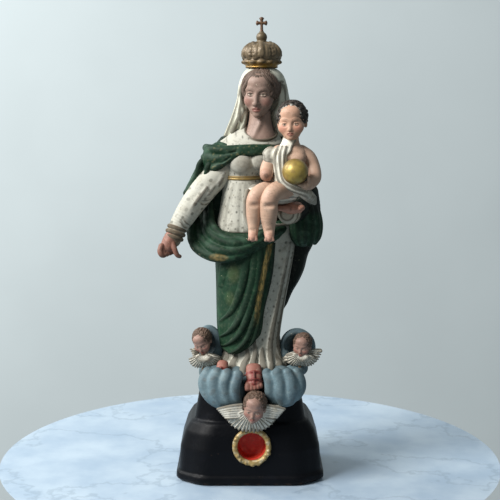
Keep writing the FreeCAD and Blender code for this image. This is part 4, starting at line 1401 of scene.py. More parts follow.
def mantle_cape_right():
    """The cape over her right upper arm, with folds that run down to a point at the elbow."""
    clay = Clay((-58, -18, -22), (-4, 26, 36), 0.5)
    clay.tube([(-19, 7, 19, 11.5), (-30, 5, 6, 10.5), (-39.5, 1, -5.5, 7.5), (-49, -2, -14, 2.6)])
    clay.tube([(-18, -5, 14, 6), (-27, -5.5, 3, 6), (-36, -5, -5.5, 4.4), (-47, -4, -13, 2.2)], soft=2)
    for top, low in (
        ((-24, -10, 17), (-33, -9, 1)), ((-31, -3, 19), (-40.5, -4.5, 2)),
        ((-30, 10, 19), (-41, 8, 2)),
    ):
        middle = (np.array(top) + low) / 2 + (-1.6, -1.2, 1.2)
        clay.tube([(*top, 2.0), (*middle, 2.4), (*low, 2.2), (-49.5, -3, -13.6, 1.4)], soft=2)
    piece = clay.mesh("mantle_arm_cape", None, waist_mark())
    points = clay.points
    pale = patchy(points, 12, 7, 0.0, 0.8) * 0.45
    gold = (
        near_line(points, [(-16, -9, 12), (-31, -10, -3), (-48, -6, -14)], 1.8, 1.0)
        * patchy(points, 4, 2, 0.0, 0.5) * 0.5
    )
    coat(piece, GREEN, (pale, srgb(74, 102, 84)), (gold, srgb(136, 130, 92)))
    finish_piece(piece, ["mantle_cape_right"], "green")


def right_sleeve():
    """The full white sleeve, creased at the elbow and gathered into the cuff."""
    clay = Clay((-66, -28, -52), (0, 16, 24), 0.5)
    clay.tube(
        [
            (-10, 1, 15, 10.5), (-20, -2, 4, 11.2), (-31, -5, -7, 11.2), (-43, -9, -22, 10.4),
            (-51, -12, -34, 9.2), (-56.5, -14, -43, 7.8),
        ]
    )
    for a, b, thick in (
        ((-22, -12.5, -4), (-34, -13.5, -17), 2.2), ((-31, -16, -8), (-46, -18, -28), 2.2),
        ((-26, -9, -13), (-43, -13, -33), 2.0), ((-44, -4, -12), (-55, -8, -32), 2.2),
        ((-16, -11, 4), (-22, -11, -8), 2.2),
    ):
        middle = (np.array(a) + b) / 2 + (-0.8, -0.8, -0.8)
        clay.tube([(*a, thick * 0.4), (*middle, thick), (*b, thick * 0.4)], soft=2.2)
    for a, b in (
        ((-30, -15.5, -16), (-21, -10.5, -13)), ((-36, -17, -20), (-29, -11.5, -20)),
        ((-52, -21.5, -36), (-47, -18, -41)),
    ):
        middle = (np.array(a) + b) / 2 + (0.2, -0.6, -1.0)
        clay.tube([(*a, 0.6), (*middle, 0.9), (*b, 0.6)], soft=1.2, cut=True)
    piece = clay.mesh("sleeve_right_full", None, waist_mark())
    points = clay.points
    along = points @ (np.array((-0.60, -0.26, -0.76)))
    across = points @ (np.array((-0.72, -0.12, 0.68)))
    spots = dots(across, along, 1.15, 8.2, 4) * step_up(along, -4, 2)
    dirt = patchy(points, 12, 8, 0.1, 0.8) * 0.35
    coat(piece, WHITE, (dirt, srgb(176, 170, 154)), (spots * 0.8, srgb(96, 96, 86)))
    finish_piece(piece, ["right_sleeve"], "white")


def right_cuff():
    """Three stacked rings at the wrist."""
    middle = mark("right_cuff")
    way = np.array((-0.30, -0.16, -0.94))
    clay = Clay((-14, -14, -12), (14, 14, 12), 0.4)
    clay.tube([(*(way * -6.5), 7.0), (*(way * 6.0), 6.6)])
    for slide, radius in ((-4.6, 6.9), (-0.4, 7.1), (3.8, 6.6)):
        clay.tube(ring(way * slide, way, radius, 1.9, 20), soft=0.5, count=61)
    piece = clay.mesh("cuff_right_rings", None, middle)
    pale = patchy(clay.points, 6, 2, -0.2, 0.6) * 0.6
    coat(piece, srgb(126, 110, 92), (pale, srgb(172, 162, 142)))
    finish_piece(piece, ["right_cuff"], "white")


def finger(clay, points, radius):
    """A finger along its joints, with a rounded tip."""
    clay.tube([(*p, radius * w) for p, w in zip(points, (1.05, 1.0, 0.94, 0.82, 0.74))], soft=0.6)


RED_SKIN = srgb(134, 92, 78)


def right_hand():
    """Her lowered right hand: a half closed fist with the thumb hooked forward, and chipped finger ends."""
    middle = mark("right_hand") + (-1.5, 0, 2.5)
    clay = Clay((-13, -12, -13), (14, 12, 13), 0.35)
    clay.tube([(3.5, 2.5, 9.5, 5.0), (1.0, 1.0, 4.0, 6.2), (-1.5, 0, -2.0, 6.2)], soft=1)
    for i, (x, y) in enumerate(((-5.6, -3.6), (-3.2, -1.4), (-0.6, 0.8), (2.0, 3.0))):
        finger(
            clay,
            [
                (x - 0.6, y - 1.4, -0.5), (x - 1.6, y - 3.2, -4.4),
                (x - 0.6, y - 3.8, -7.6 + 0.6 * i), (x + 1.6, y - 2.6, -8.6 + 0.6 * i),
                (x + 3.2, y - 1.4, -7.4 + 0.7 * i),
            ],
            2.35 - 0.12 * i,
        )
    finger(
        clay,
        [(3.5, -3.0, 1.5), (5.2, -4.8, -3.5), (6.6, -4.8, -7.0), (8.0, -4.4, -9.0), (9.4, -3.8, -9.6)],
        2.3,
    )
    clay.ball((-8.8, -6.2, -9.0), (2.2, 2.2, 1.7), soft=0.3, cut=True)
    piece = clay.mesh("hand_right_fist", None, middle)
    points = clay.points
    worn = patchy(points, 6, 3, 0.2, 0.7) * 0.4
    tips = step_up(points[:, 2], -5, -9) * 0.35
    coat(piece, RED_SKIN, (worn, srgb(176, 122, 106)), (tips, srgb(112, 84, 70)))
    finish_piece(piece, ["right_hand"], "flesh")


def left_sleeve():
    """The mantle over her left arm, painted near black all over as the shade in which it hangs behind the
    Child.
    """
    clay = Clay((12, -26, -42), (74, 28, 32), 0.6)
    clay.tube(
        [(28, 6, 20, 10.5), (44, 10, 6, 11), (53, 8, -12, 11), (52, -4, -26, 9.5), (44, -18, -29, 8)]
    )
    for top, low, thick in (
        ((22, 0, 25), (44, 1, 2), 3), ((30, -2, 21), (53, -1, -8), 3),
        ((36, 12, 20), (60, 10, -8), 3), ((32, 18, 16), (52, 19, -10), 3),
    ):
        middle = (np.array(top) + low) / 2 + (1.5, 0, 2.0)
        clay.tube(
            [(*top, thick * 0.7), (*middle, thick), (*low, thick), (55, -2, -28, thick * 0.7)],
            soft=1.2,
        )
    piece = clay.mesh("mantle_arm_left", None, waist_mark())
    # Painted shade: the whole sleeve is painted near black.
    coat(piece, srgb(13, 18, 15))
    finish_piece(piece, ["left_sleeve"], "green")


def mantle_fall_left():
    """The pleated end of the mantle that hangs from her left forearm."""
    middle = mark("mantle_fall_left")
    clay = Clay((-22, -22, -28), (18, 18, 28), 0.55)
    clay.tube([(2, 8, 20, 9), (1, 2, 6, 11.5), (-1, -1, -8, 12), (-3, -1, -18, 8.5)], soft=2)
    for i in range(7):
        turn = math.radians(-82 + 27 * i)
        out = np.array((math.sin(turn), -math.cos(turn)))
        rows = []
        for z, reach, thick in (
            (16, 6.5, 2.0), (6, 10.0, 3.2), (-6, 12.0, 3.8), (-16, 11.0, 3.8),
            (-21.5 + 1.4 * math.cos(2.4 * i), 8.5, 2.8),
        ):
            rows.append((-1 + out[0] * reach, 0.5 + out[1] * reach * 0.95, z, thick))
        clay.tube(rows, soft=0.7)
    piece = clay.mesh("mantle_left_fall", None, middle)
    points = clay.points
    pale = patchy(points, 12, 4, 0.0, 0.8) * 0.4
    # Painted shade: the top of the fall, under the Child and her hand, is painted near black.
    dark = step_up(points[:, 2], 1, 7) * 0.9
    coat(piece, GREEN, (pale, srgb(66, 94, 76)), (dark, srgb(12, 15, 14)))
    finish_piece(piece, ["mantle_fall_left"], "green")


def left_cuff():
    """The white edge of the left sleeve, seen end on."""
    middle = mark("left_cuff")
    clay = Clay((-17, -14, -13), (16, 14, 13), 0.45)
    way = np.array((-0.45, -0.88, 0.02))
    clay.tube([(*(way * -9), 7.8), (*(way * 9), 8.0)])
    clay.tube(ring(way * 6.5, way, 7.4, 2.3, 20), soft=1.5, count=61)
    clay.tube(ring(way * 1.0, way, 8.0, 1.6, 20), soft=1.5, count=61)
    piece = clay.mesh("cuff_left_frill", None, middle)
    coat(piece, srgb(186, 178, 160))
    finish_piece(piece, ["left_cuff"], "white")


def left_hand():
    """Her open left hand under the Child: palm up, fingers towards the viewer's left."""
    middle = mark("left_hand")
    clay = Clay((-20, -16, -8), (20, 15, 9), 0.4)
    clay.ball((4, 1, 0), (11, 8.5, 4.4))
    clay.tube([(9, 7, -0.5, 5.2), (3, 1, 0, 5.4)], soft=2)
    for y, reach in ((-7.6, 0.0), (-4.0, -2.0), (-0.4, -2.4), (3.0, 0.0)):
        finger(
            clay,
            [
                (2, y, 0.2), (-4.5, y - 0.6, 0.6), (-9 + reach * 0.6, y - 1.0, 0.6),
                (-12.0 + reach, y - 1.0, 0.2), (-13.6 + reach, y - 1.0, -0.2),
            ],
            2.2,
        )
    finger(
        clay,
        [(10, -3, 1), (12, -8, 1.4), (12.4, -11, 1.4), (11.6, -12.6, 1.2), (10.6, -13.4, 1.0)],
        2.4,
    )
    piece = clay.mesh("hand_left_open", None, middle)
    coat(piece, srgb(186, 132, 112), (patchy(clay.points, 6, 3, 0.2, 0.7) * 0.4, srgb(180, 134, 116)))
    finish_piece(piece, ["left_hand"], "flesh")


def foot(side, turn, lift):
    """A bare foot with toes and the red straps of a sandal."""
    middle = mark(f"{side}_foot") + lift
    clay = Clay((-9, -15, -7), (9, 15, 9), 0.4)
    clay.tube([(0, 12, 1.8, 5.2), (0, 4, 1.0, 5.4), (0, -5, -0.6, 4.8)], soft=1, squash=(2, 1.25))
    for i, x in enumerate((-4.4, -1.9, 0.4, 2.6, 4.6)):
        long = (12.0, 12.2, 11.6, 10.8, 9.6)[i] if side == "left" else (9.6, 10.8, 11.6, 12.2, 12.0)[i]
        wide = (2.0, 1.5, 1.4, 1.4, 1.3)[i] if side == "left" else (1.3, 1.4, 1.4, 1.5, 2.0)[i]
        clay.tube(
            [(x * 0.85, -5, -0.4, wide), (x, -8.5, 0.0, wide), (x, -long, -1.4, wide * 0.95)],
            soft=0.4,
        )
    for line in (
        [(-5.6, -3, -1), (0, -4.5, 4.6), (5.6, -3, -1)], [(-5.8, 4, 0), (0, 3.5, 5.9), (5.8, 4, 0)],
        [(0, -8, 2.2), (0, -3, 4.6), (0, 4, 6.2)],
    ):
        clay.tube([(*p, 0.75) for p in line], soft=0.4)
    piece = clay.mesh(f"foot_{side}", turn, middle)
    points = clay.points
    straps = sum(
        near_line(points, line, 1.9, 0.6)
        for line in (
            [(-5.6, -3, -1), (0, -4.5, 4.6), (5.6, -3, -1)],
            [(-5.8, 4, 0), (0, 3.5, 5.9), (5.8, 4, 0)], [(0, -8, 2.2), (0, -3, 4.6), (0, 4, 6.2)],
        )
    )
    coat(piece, srgb(144, 94, 82), (straps * 0.9, srgb(122, 46, 42)))
    finish_piece(piece, [f"{side}_foot"], "flesh")


def feet():
    """Her two feet: the left one stands forward and the right one shows only its toes."""
    foot("left", turning(pitch=42, yaw=2) * (1.28, 0.84, 1.0), (0, -0.5, -1.8))
    foot("right", turning(pitch=38, yaw=-10) * (0.95, 0.8, 0.9), (-1.0, -5.0, -4.0))


def mother_neck():
    """The mother's bare neck."""
    middle = mark("mother_neck")
    clay = Clay((-16, -14, -18), (17, 14, 18), 0.5)
    clay.column(
        [
            (-16, 2.5, -1, 15, 10.5), (-9, 3, -1, 14, 10.5), (-2, 3, 0, 11.4, 9.8),
            (6, 3, 1, 9.6, 9.2), (15, 3, 1.5, 8.8, 8.8),
        ]
    )
    clay.tube([(-2.0, -9.4, -8, 1.0), (1.5, -9.0, 0, 1.2), (5.0, -6.8, 8, 1.0)], soft=3)
    piece = clay.mesh("neck_and_throat", None, middle)
    # Painted shade: the neck is darker towards +X, the side away from the light.
    coat(piece, SKIN, (step_up(clay.points[:, 0], 4, 14) * 0.3, srgb(128, 98, 86)))
    finish_piece(piece, ["mother_neck"], "flesh")


def veil():
    """The white veil: a thin rim round the hair, and folds that fall behind her right shoulder."""
    middle = mark("veil")
    clay = Clay((-38, -24, -32), (38, 24, 32), 0.55)
    sections = [
        (-30.1, -0.4, 5.5, 32, 13), (-21.6, 0.6, 3.5, 29.5, 15), (-12.6, 0.6, 0.5, 26, 17),
        (1.4, 0.9, -1.5, 22.2, 19),
        (14.4, 0.6, -2.5, 20.6, 19.2), (22.4, 0.6, -3, 18.2, 17.6), (27.4, 0.1, -3.5, 14.2, 14.2),
        (30.0, -0.4, -4.5, 9, 9),
    ]
    lines = []
    for i, at in enumerate((-128, -112, -97, -84, -72, 72, 84, 97, 112, 128, 146, 163, 180, -163, -146)):
        tall = 1.2 + 0.5 * math.sin(2.2 * i)
        lines.append(
            [
                (-30, at * 1.0, 3.6, tall * 1.3), (-12, at, 3.0, tall * 1.2),
                (6, at, 2.4, tall * 0.6), (20, at, 1.8, 0.1),
            ]
        )
    clay.column(sections, lambda angle, z: pleats(angle, z, 24, lines), power=2.1)
    _, y, z = clay.everywhere()
    clay.field = np.maximum(clay.field, np.minimum(-(y + 10.5), 17 - z)).astype(np.float32)
    clay.ball((-2.0, -19.5, 6.0), (17.2, 22, 21.5), soft=1.6, cut=True)
    clay.ball((-3.5, -19, -22), (15.5, 25, 22), soft=3, cut=True)
    rim = []
    for degrees in range(-35, 216, 18):
        turn = math.radians(degrees)
        rim.append(
            (
                0.4 + 18.8 * math.cos(turn), -8.4 - 4.2 * max(math.sin(turn), 0),
                6.5 + 20.6 * math.sin(turn), 1.5,
            )
        )
    clay.tube(rim, soft=1.0, count=61)
    clay.tube([(-18.4, -8.5, -3, 1.6), (-20.5, -8.5, -14, 2.0), (-25.5, -7, -25, 2.4)], soft=1.2)
    clay.tube([(-13.8, -6.5, 0, 1.4), (-14.5, -7.0, -14, 1.8), (-18, -8, -27, 2.2)], soft=1.6)
    piece = clay.mesh("veil_folds", None, middle)
    points = clay.points
    worn = patchy(points, 12, 3, -0.1, 0.7) * 0.55
    grey = step_up(points[:, 2], 2, -14) * 0.35
    coat(piece, srgb(222, 220, 204), (worn, srgb(186, 186, 166)), (grey, srgb(162, 166, 148)))
    finish_piece(piece, ["veil"], "white")


# ---------------------------------------------------------------- Child, about the middle of his torso
def child_mark():
    """The middle of the Child's trunk."""
    return mark("child_torso")


CHILD_TRUNK = [
    (-24.7, -3.8, 0, 12.5, 10.5), (-14, -1.8, 0, 14, 11.6), (2, 1.2, 1, 14.6, 10.8),
    (13, 3.2, 2, 14.2, 9.4), (19.5, 3.7, 2.5, 7.4, 6.4), (26, 4.2, 2.5, 5.6, 5.6),
]
CHILD_SKIN = srgb(190, 156, 134)


def child_coat(piece, points, blush=()):
    """The Child's flesh, with a blush about each place given."""
    warm = patchy(points, 14, 2, 0.0, 0.9) * 0.35
    patches = [(near(points, centre, (5, 5, 5), 4) * 0.5, srgb(200, 130, 112)) for centre in blush]
    coat(piece, CHILD_SKIN, (warm, srgb(214, 184, 162)), *patches)


def child_torso():
    """The bare trunk."""
    clay = Clay((-20, -16, -27), (24, 17, 28), 0.5)
    clay.column(CHILD_TRUNK)
    clay.ball((-1, -4.5, -11), (10.5, 8.5, 10), soft=3)
    for x in (-4.5, 9.5):
        clay.ball((x, -5.5, 7.5), (6.2, 4.6, 5), soft=3)
    clay.ball((-0.6, -13.4, -11.5), (0.9, 1.2, 0.9), soft=0.8, cut=True)
    clay.tube([(2.6, -9.8, 11, 0.5), (2.4, -10.8, 4, 0.6), (1.2, -11.6, -2, 0.4)], soft=1.4, cut=True)
    piece = clay.mesh("child_trunk", None, child_mark())
    child_coat(piece, clay.points)
    finish_piece(piece, ["child_torso"], "flesh", "child")


def child_arms():
    """The broken right arm, and the left arm that holds the orb."""
    clay = Clay((-27, -20, -15), (0, 12, 20), 0.4)
    clay.tube(
        [
            (-6.5, 2, 12.5, 6.2), (-12.0, 0.5, 6.5, 6.4), (-15.6, -2.5, 0.5, 6.3),
            (-16.8, -6, -3.5, 5.9), (-17.3, -9.8, -5.2, 5.4),
        ],
        soft=1,
    )
    piece = clay.mesh("child_right_arm_stub", None, child_mark())
    points = clay.points
    hole = near(points, (-17.3, -12, -5.8), (2.6, 4.5, 2.6), 0.8)
    warm = near(points, (-17.3, -12, -5.8), (6, 5, 6), 3) * 0.5
    coat(piece, CHILD_SKIN, (warm, srgb(178, 124, 106)), (hole * 0.8, srgb(120, 88, 72)))
    finish_piece(piece, ["child_right_arm"], "flesh", "child")
    clay = Clay((6, -27, -22), (32, 12, 20), 0.4)
    clay.tube(
        [
            (12, 3.5, 12.5, 6.3), (18, 2.5, 8, 6.4), (21.8, 0.5, 0.5, 6.0), (23.2, -5, -8.0, 5.4),
            (19.5, -14, -12.5, 4.4), (16.5, -18, -13.6, 3.9),
        ],
        soft=1,
    )
    clay.ball((15, -19.6, -13.4), (4.2, 3.6, 3.2), soft=1.5)
    for i in range(4):
        clay.tube(
            [
                (14.5 - i * 0.4, -21.0 + i * 1.9, -13.6 - 0.3 * i, 1.5),
                (12.0, -22.4 + i * 1.9, -13.2, 1.45), (9.6 - 0.2 * i, -22.8 + i * 2.0, -12.6, 1.3),
            ],
            soft=0.4,
        )
    clay.tube([(17, -21.5, -12, 1.6), (17.4, -23.2, -9, 1.5), (16.8, -24.0, -6.4, 1.3)], soft=0.5)
    piece = clay.mesh("child_left_arm_and_hand", None, child_mark())
    child_coat(piece, clay.points, [(23, -2, -8)])
    finish_piece(piece, ["child_left_arm"], "flesh", "child")


def child_leg(side, line, sole):
    """A chubby bent leg with creases at knee and ankle, and a foot with toes that points down."""
    rows = np.array(line, float)
    low, high = rows[:, :3].min(0) - 11, rows[:, :3].max(0) + 11
    clay = Clay(low, high, 0.4)
    clay.tube(line, soft=1)
    ankle, toe = rows[-1, :3], rows[-1, :3] + sole
    clay.tube([(*ankle, 3.7), (*((ankle + toe) / 2), 3.9), (*(toe * 0.85 + ankle * 0.15), 3.3)], soft=1.2)
    for i in range(5):
        x = (i - 2) * 1.55
        big = 1.45 if (i == 4) == (side == "right") and i in (0, 4) else 1.1
        clay.tube([(*(toe + (x * 0.8, -0.6, 1.2)), big), (*(toe + (x, -0.9, -0.8)), big)], soft=0.35)
    knee = rows[2, :3]
    clay.ball(knee + (0, -8.0, -5.0), (6, 2.4, 1.8), soft=2.4, cut=True)
    clay.ball(ankle + (0, -5.4, 2.6), (5, 2.0, 1.2), soft=1.6, cut=True)
    piece = clay.mesh(f"child_{side}_leg_and_foot", None, child_mark())
    child_coat(piece, clay.points, [knee, toe])
    finish_piece(piece, [f"child_{side}_leg"], "flesh", "child")


def child_legs():
    """Both legs, bent at the knee over her palm."""
    child_leg(
        "right",
        [
            (-6.8, -2, -18.5, 8.2), (-19.8, -9.5, -18.9, 7.2), (-26.6, -12.6, -25, 6.8),
            (-27.6, -12.6, -37, 6.4), (-27.8, -12.6, -46, 5.0), (-28.2, -14.5, -53, 3.8),
        ],
        np.array((-0.4, -3.4, -4.6)),
    )
    child_leg(
        "left",
        [
            (1.2, -4, -18, 8.4), (-8.8, -13, -18.6, 7.9), (-14.6, -16.8, -25, 7.5),
            (-15.2, -16.6, -37, 7.2), (-15.2, -16.0, -46, 5.6), (-14.9, -17.5, -53, 4.2),
        ],
        np.array((0.3, -3.6, -4.6)),
    )


def child_cloth():
    """The white cloth: over the right shoulder, down beside the orb and across the lap to a hanging
    point, with an edge that shows behind the shins."""
    clay = Clay((-40, -18, -60), (30, 18, 26), 0.55)
    shell = [(z, cx, cy, rx + 1.5, ry + 1.6) for z, cx, cy, rx, ry in CHILD_TRUNK]
    clay.column(shell)
    clay.ball((-1, -5.2, -11), (10.9, 9.6, 10.6), soft=3)
    clay.ball((-13.5, -0.5, 9), (7.6, 8.2, 8.6), soft=3)
    x, _, z = clay.everywhere()
    left = np.interp(z, (-30, -20, -12, -2, 6, 12, 18, 26), (-20, -13, -11, -12, -19, -21, -16, -8))
    right = np.interp(z, (-30, -22, -16, -8, 2, 10, 16, 26), (26, 14, 6, 0.5, -0.5, 0.5, 4, 9))
    beyond = np.maximum(left - x, x - right) + 0.5 * np.sin(0.8 * z) + np.zeros_like(clay.field)
    clay.field = -melt(-clay.field, -beyond, 1.0)
    clay.field = np.maximum(clay.field, -31.5 - z + np.zeros_like(clay.field))
    for line in (
        [
            (-7, -4, 17), (-10, -9.4, 11), (-8.8, -12.0, 0), (-6, -14.6, -11), (4, -14.2, -17.5),
            (15, -10.5, -22), (22, 1, -28),
        ],
        [
            (-1, -6, 17), (-3.2, -10.2, 10), (-3.4, -12.2, 0), (-1, -14.4, -9), (7, -13.4, -14.5),
            (16, -10, -18.5), (23, 0, -25),
        ],
        [
            (-4, -5, 17), (-6.4, -10.6, 10), (-6.0, -12.8, 0), (-3.4, -15.2, -10), (5.5, -14.8, -16),
            (15.5, -10.8, -20), (22.6, 0.4, -26.5),
        ],
    ):
        clay.tube([(*p, 1.7) for p in line], soft=1.0)
    clay.tube(
        [(7, -9, -16.5, 4.6), (14, -7.5, -20, 5.2), (20, -3.5, -25.5, 4.4), (23.6, 1.5, -30, 1.8)],
        soft=1.5,
    )
    clay.tube(
        [(-33, -3, -19, 1.8), (-35.2, -3.5, -30, 1.9), (-34.2, -4.5, -42, 1.9), (-30, -6.5, -51, 1.6)],
        soft=0.6,
    )
    clay.ball((-27, 0.5, -33), (9, 3.6, 19), soft=2)
    clay.ball((-12, -1.5, -26), (20, 9.5, 5.4), soft=2)
    piece = clay.mesh("child_sash_and_wrap", None, child_mark())
    worn = patchy(clay.points, 10, 3, 0.0, 0.8) * 0.35
    coat(piece, srgb(226, 222, 208), (worn, srgb(196, 184, 160)))
    finish_piece(piece, ["child_cloth"], "white", "child")


def orb():
    """The gilt ball in the Child's left hand."""
    middle = mark("orb")
    clay = Clay((-12.5, -12.5, -12.5), (12.5, 12.5, 12.5), 0.5)
    clay.ball((0, 0, 0), 10.7)
    piece = clay.mesh("orb_ball", None, middle)
    points = clay.points
    bare = patchy(points, 7, 2, 0.0, 0.7) * 0.5
    # Painted shade: the ball is darker towards its outline as seen from the front.
    edge = step_up(np.hypot(points[:, 0], points[:, 2]), 7.5, 10.6) * 0.6
    coat(piece, srgb(180, 154, 76), (bare, srgb(116, 90, 48)), (edge, srgb(104, 78, 46)))
    store(piece, "gilt", 0.4 - bare * 0.4)
    finish_piece(piece, ["orb"], "gold", "child")


def child_head():
    """The Child's round head, with short dark curls whose fringe is painted pale white in patches."""
    middle = mark("child_head") + (0, 0.6, 0.2)
    turn = turning(yaw=-10, pitch=2, roll=-2) * 0.79
    face = face_clay(INFANT, 0.42)
    for s in (-1, 1):
        face.ball((s * 14.4, 0.5, -3.0), (2.0, 3.2, 4.2), soft=0.8)
        face.ball((s * 15.8, -0.2, -3.0), (1.2, 1.8, 2.6), soft=0.6, cut=True)
    piece = face.mesh("child_face", turn, middle)
    face_paint(piece, face.points, INFANT, srgb(196, 154, 130), srgb(70, 54, 46))
    finish_piece(piece, ["child_head"], "flesh", "child")
    hair = curly_hair(
        Clay((-19, -20, -13), (19, 23, 23), 0.45), (vec(0, -17.5, -6.0), (10.4, 12.5, 12.6)), 9, 3.6,
        1.9, 104, -12.0,
    )
    piece = hair.mesh("child_curls", turn, middle)
    points = hair.points
    # Pale white patches on the front and top of the fringe.
    fringe = (
        step_up(points[:, 1], -8, -11) * patchy(points, 5, 2, -0.05, 0.25)
        * step_up(points[:, 2], 4, 9)
    )
    coat(piece, srgb(40, 35, 32), (fringe * 0.85, srgb(204, 200, 190)))
    finish_piece(piece, ["child_hair"], "hair", "child")


# ---------------------------------------------------------------- crown
CROWN_BROWN = srgb(112, 96, 74)


def crown_height(node, share=1.0):
    """A height on one of the crown's nodes, in mm above the foot of its band."""
    return mark(node, 0.5, 0.5, share)[2] - mark("crown_band", 0.5, 0.5, 0.0)[2]


def brass_mesh(clay, name):
    """Meshes a block that stands on the foot of the crown's band."""
    return clay.mesh(name, None, mark("crown_band", 0.5, 0.5, 0.0))


def brass(piece, node, gilt, colour, *patches):
    """Paints and finishes one of the crown's pieces. gilt is how bright the metal is, from 0 to 1."""
    coat(piece, colour, *patches)
    store(piece, "gilt", gilt + np.zeros(len(piece.data.vertices)))
    finish_piece(piece, [node], "crown", "crown")


def hoop(clay, z, radius, thick, soft, count):
    """A round bead about the crown."""
    clay.tube(ring((0, 0, z), (0, 0, 1), radius, thick, 24 if count > 50 else 16), soft=soft, count=count)


def crown_band():
    """The flaring band, hollow, with a bead at each edge and a row of soft bosses."""
    tall = crown_height("crown_band")
    wall = 1.2
    profile = ((1.8, 13.6), (5, 15.3))
    clay = Clay((-18, -18, -1), (18, 18, tall + 1), 0.4)
    outside = [(0, 12.8), *profile, (tall, 15.6)]
    clay.column([(z, 0, 0, r, r) for z, r in outside])
    inside = [(-1, 12.8), *profile, (tall + 1, 15.6)]
    clay.column([(z, 0, 0, r - wall, r - wall) for z, r in inside], cut=True)
    hoop(clay, 0.9, 13.0, 1.0, 0.4, 97)
    hoop(clay, tall - 0.8, 15.3, 0.9, 0.4, 97)
    for i in range(12):
        turn = 2 * math.pi * i / 12
        clay.ball((14.2 * math.cos(turn), 14.2 * math.sin(turn), 5.0), (3.4, 3.4, 1.9), soft=1.6)
    piece = brass_mesh(clay, "crown_flared_band")
    points = clay.points
    gold = step_up(points[:, 2], tall - 1.5, 2.5) * (0.55 + 0.45 * patchy(points, 7, 1, -0.3, 0.3))
    brass(piece, "crown_band", 0.3 + 0.4 * gold, CROWN_BROWN, (gold, srgb(168, 128, 50)))


def crown_cap():
    """The cap that shows between the leaves, painted dark as the shade in the gaps between them."""
    tall, close = crown_height("crown_band"), crown_height("crown_dome")
    clay = Clay((-18, -18, tall - 2), (18, 18, close + 1), 0.4)
    outline = ((tall, 12.6), (tall + 4, 13.0), (tall + 8, 10.4), (close - 1.6, 5.4), (close, 3.4))
    clay.column([(z, 0, 0, r, r) for z, r in outline], soft=0.5)
    brass(brass_mesh(clay, "crown_inner_cap"), "crown_dome", 0.2, srgb(46, 40, 33))


def crown_leaf(clay, path, turn):
    """One broad leaf with a midrib and slanting lobes. path is its (reach, height) rows from foot to tip."""
    out = np.array((math.cos(turn), math.sin(turn)))
    side = np.array((-math.sin(turn), math.cos(turn)))
    rows = curve(path, 41)

    def at(shift, t):
        """A point of the leaf: shift mm beside its midrib, t from 0 at the foot to 4 at the tip."""
        reach, z = rows[int(round(t * 10))]
        shift = shift * (0.9, 1.08, 1.0, 0.72, 0.34)[int(t)]
        return (*(out * (reach - 0.052 * shift * shift) + side * shift), z - 0.03 * shift * shift)

    for shift, thick in ((-4.0, 2.3), (0.0, 2.2), (4.0, 2.3)):
        swell = ((0, 0.9), (1, 1.0), (2, 1.0), (3, 0.85), (4, 0.6))
        clay.tube([(*at(shift, t), thick * w) for t, w in swell], soft=1.6)
    midrib = ((0.2, 1.0), (1, 2.8), (2, 2.9), (3, 2.5), (3.9, 1.4))
    clay.tube([(*at(0, t), w) for t, w in midrib], soft=0.5)
    for s in (-1, 1):
        for t in (0.9, 1.5, 2.1, 2.7, 3.2):
            clay.tube([(*at(0, t + 0.3), 2.6), (*at(s * 5.4, t - 0.4), 2.5)], soft=0.35, count=4)
        clay.ball(at(s * 6.2, 0.3), (2.4, 2.4, 2.0), soft=0.8)


def crown_leaves():
    """Six broad leaves that bow in to the ball."""
    tall, close = crown_height("crown_band"), crown_height("crown_dome")
    clay = Clay((-18.5, -18.5, tall - 2), (18.5, 18.5, close + 3), 0.36)
    path = (
        (14.0, tall - 0.6), (15.9, tall + 3.0), (15.2, tall + 7.0), (11.2, tall + 10.4),
        (5.2, close - 0.6),
    )
    for i in range(6):
        crown_leaf(clay, path, 2 * math.pi * i / 6 - math.pi / 2)
    piece = brass_mesh(clay, "crown_leaves")
    worn = patchy(clay.points, 8, 3, 0.0, 0.7) * 0.5
    brass(piece, "crown_ribs", 0.35, CROWN_BROWN, (worn, srgb(134, 118, 92)))


def crown_ball():
    """The ball above the leaves."""
    close, centre, top = crown_height("crown_dome"), crown_height(
        "crown_ball", 0.5,
    ), crown_height("crown_cross")
    clay = Clay((-7, -7, close - 2), (7, 7, top + 1), 0.3)
    clay.ball((0, 0, centre), (4.7, 4.7, 4.6))
    clay.tube([(0, 0, close - 0.5, 4.0), (0, 0, centre - 1, 3.8)], soft=0.8)
    hoop(clay, close + 0.6, 3.6, 1.0, 0.5, 49)
    hoop(clay, centre + 4.4, 1.5, 0.6, 0.3, 33)
    brass(brass_mesh(clay, "crown_orb"), "crown_ball", 0.35, srgb(104, 90, 68))


def crown_cross():
    """The small cross with flared ends."""
    centre, top = crown_height("crown_ball", 0.5), crown_height("crown_cross")
    clay = Clay((-7, -3, centre + 3), (7, 3, top + 1), 0.25)
    arm = top - 5.0
    clay.tube(
        [(0, 0, centre + 4, 1.7), (0, 0, centre + 7, 1.3), (0, 0, arm, 1.2), (0, 0, top - 1.4, 1.5)],
        soft=0.3,
    )
    clay.tube([(-3.4, 0, arm, 1.5), (0, 0, arm, 1.2), (3.4, 0, arm, 1.5)], soft=0.3)
    clay.ball((-3.8, 0, arm), (1.1, 1.2, 2.2), soft=0.4)
    clay.ball((3.8, 0, arm), (1.1, 1.2, 2.2), soft=0.4)
    clay.ball((0, 0, top - 1.2), (2.1, 1.2, 1.2), soft=0.4)
    brass(brass_mesh(clay, "crown_small_cross"), "crown_cross", 0.3, srgb(104, 74, 52))


# ---------------------------------------------------------------- pieces that keep their CAD form
def plain_pieces():
    """Dowels, pegs and the crown's floor and pin keep their CAD meshes and get a finish."""
    for name in (
        "figure_dowels", "wrist_dowel", "left_hand_dowel", "cherub_dowels", "child_peg", "orb_pin",
    ):
        repaint(name, MATERIALS["wood"])
    repaint("crown_floor", MATERIALS["metal"])
    repaint("crown_pin", MATERIALS["metal"])


def repaint(name, material):
    """Gives a plain CAD mesh a material, its form untouched."""
    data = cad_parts[name].data
    data.materials.clear()
    data.materials.append(material)


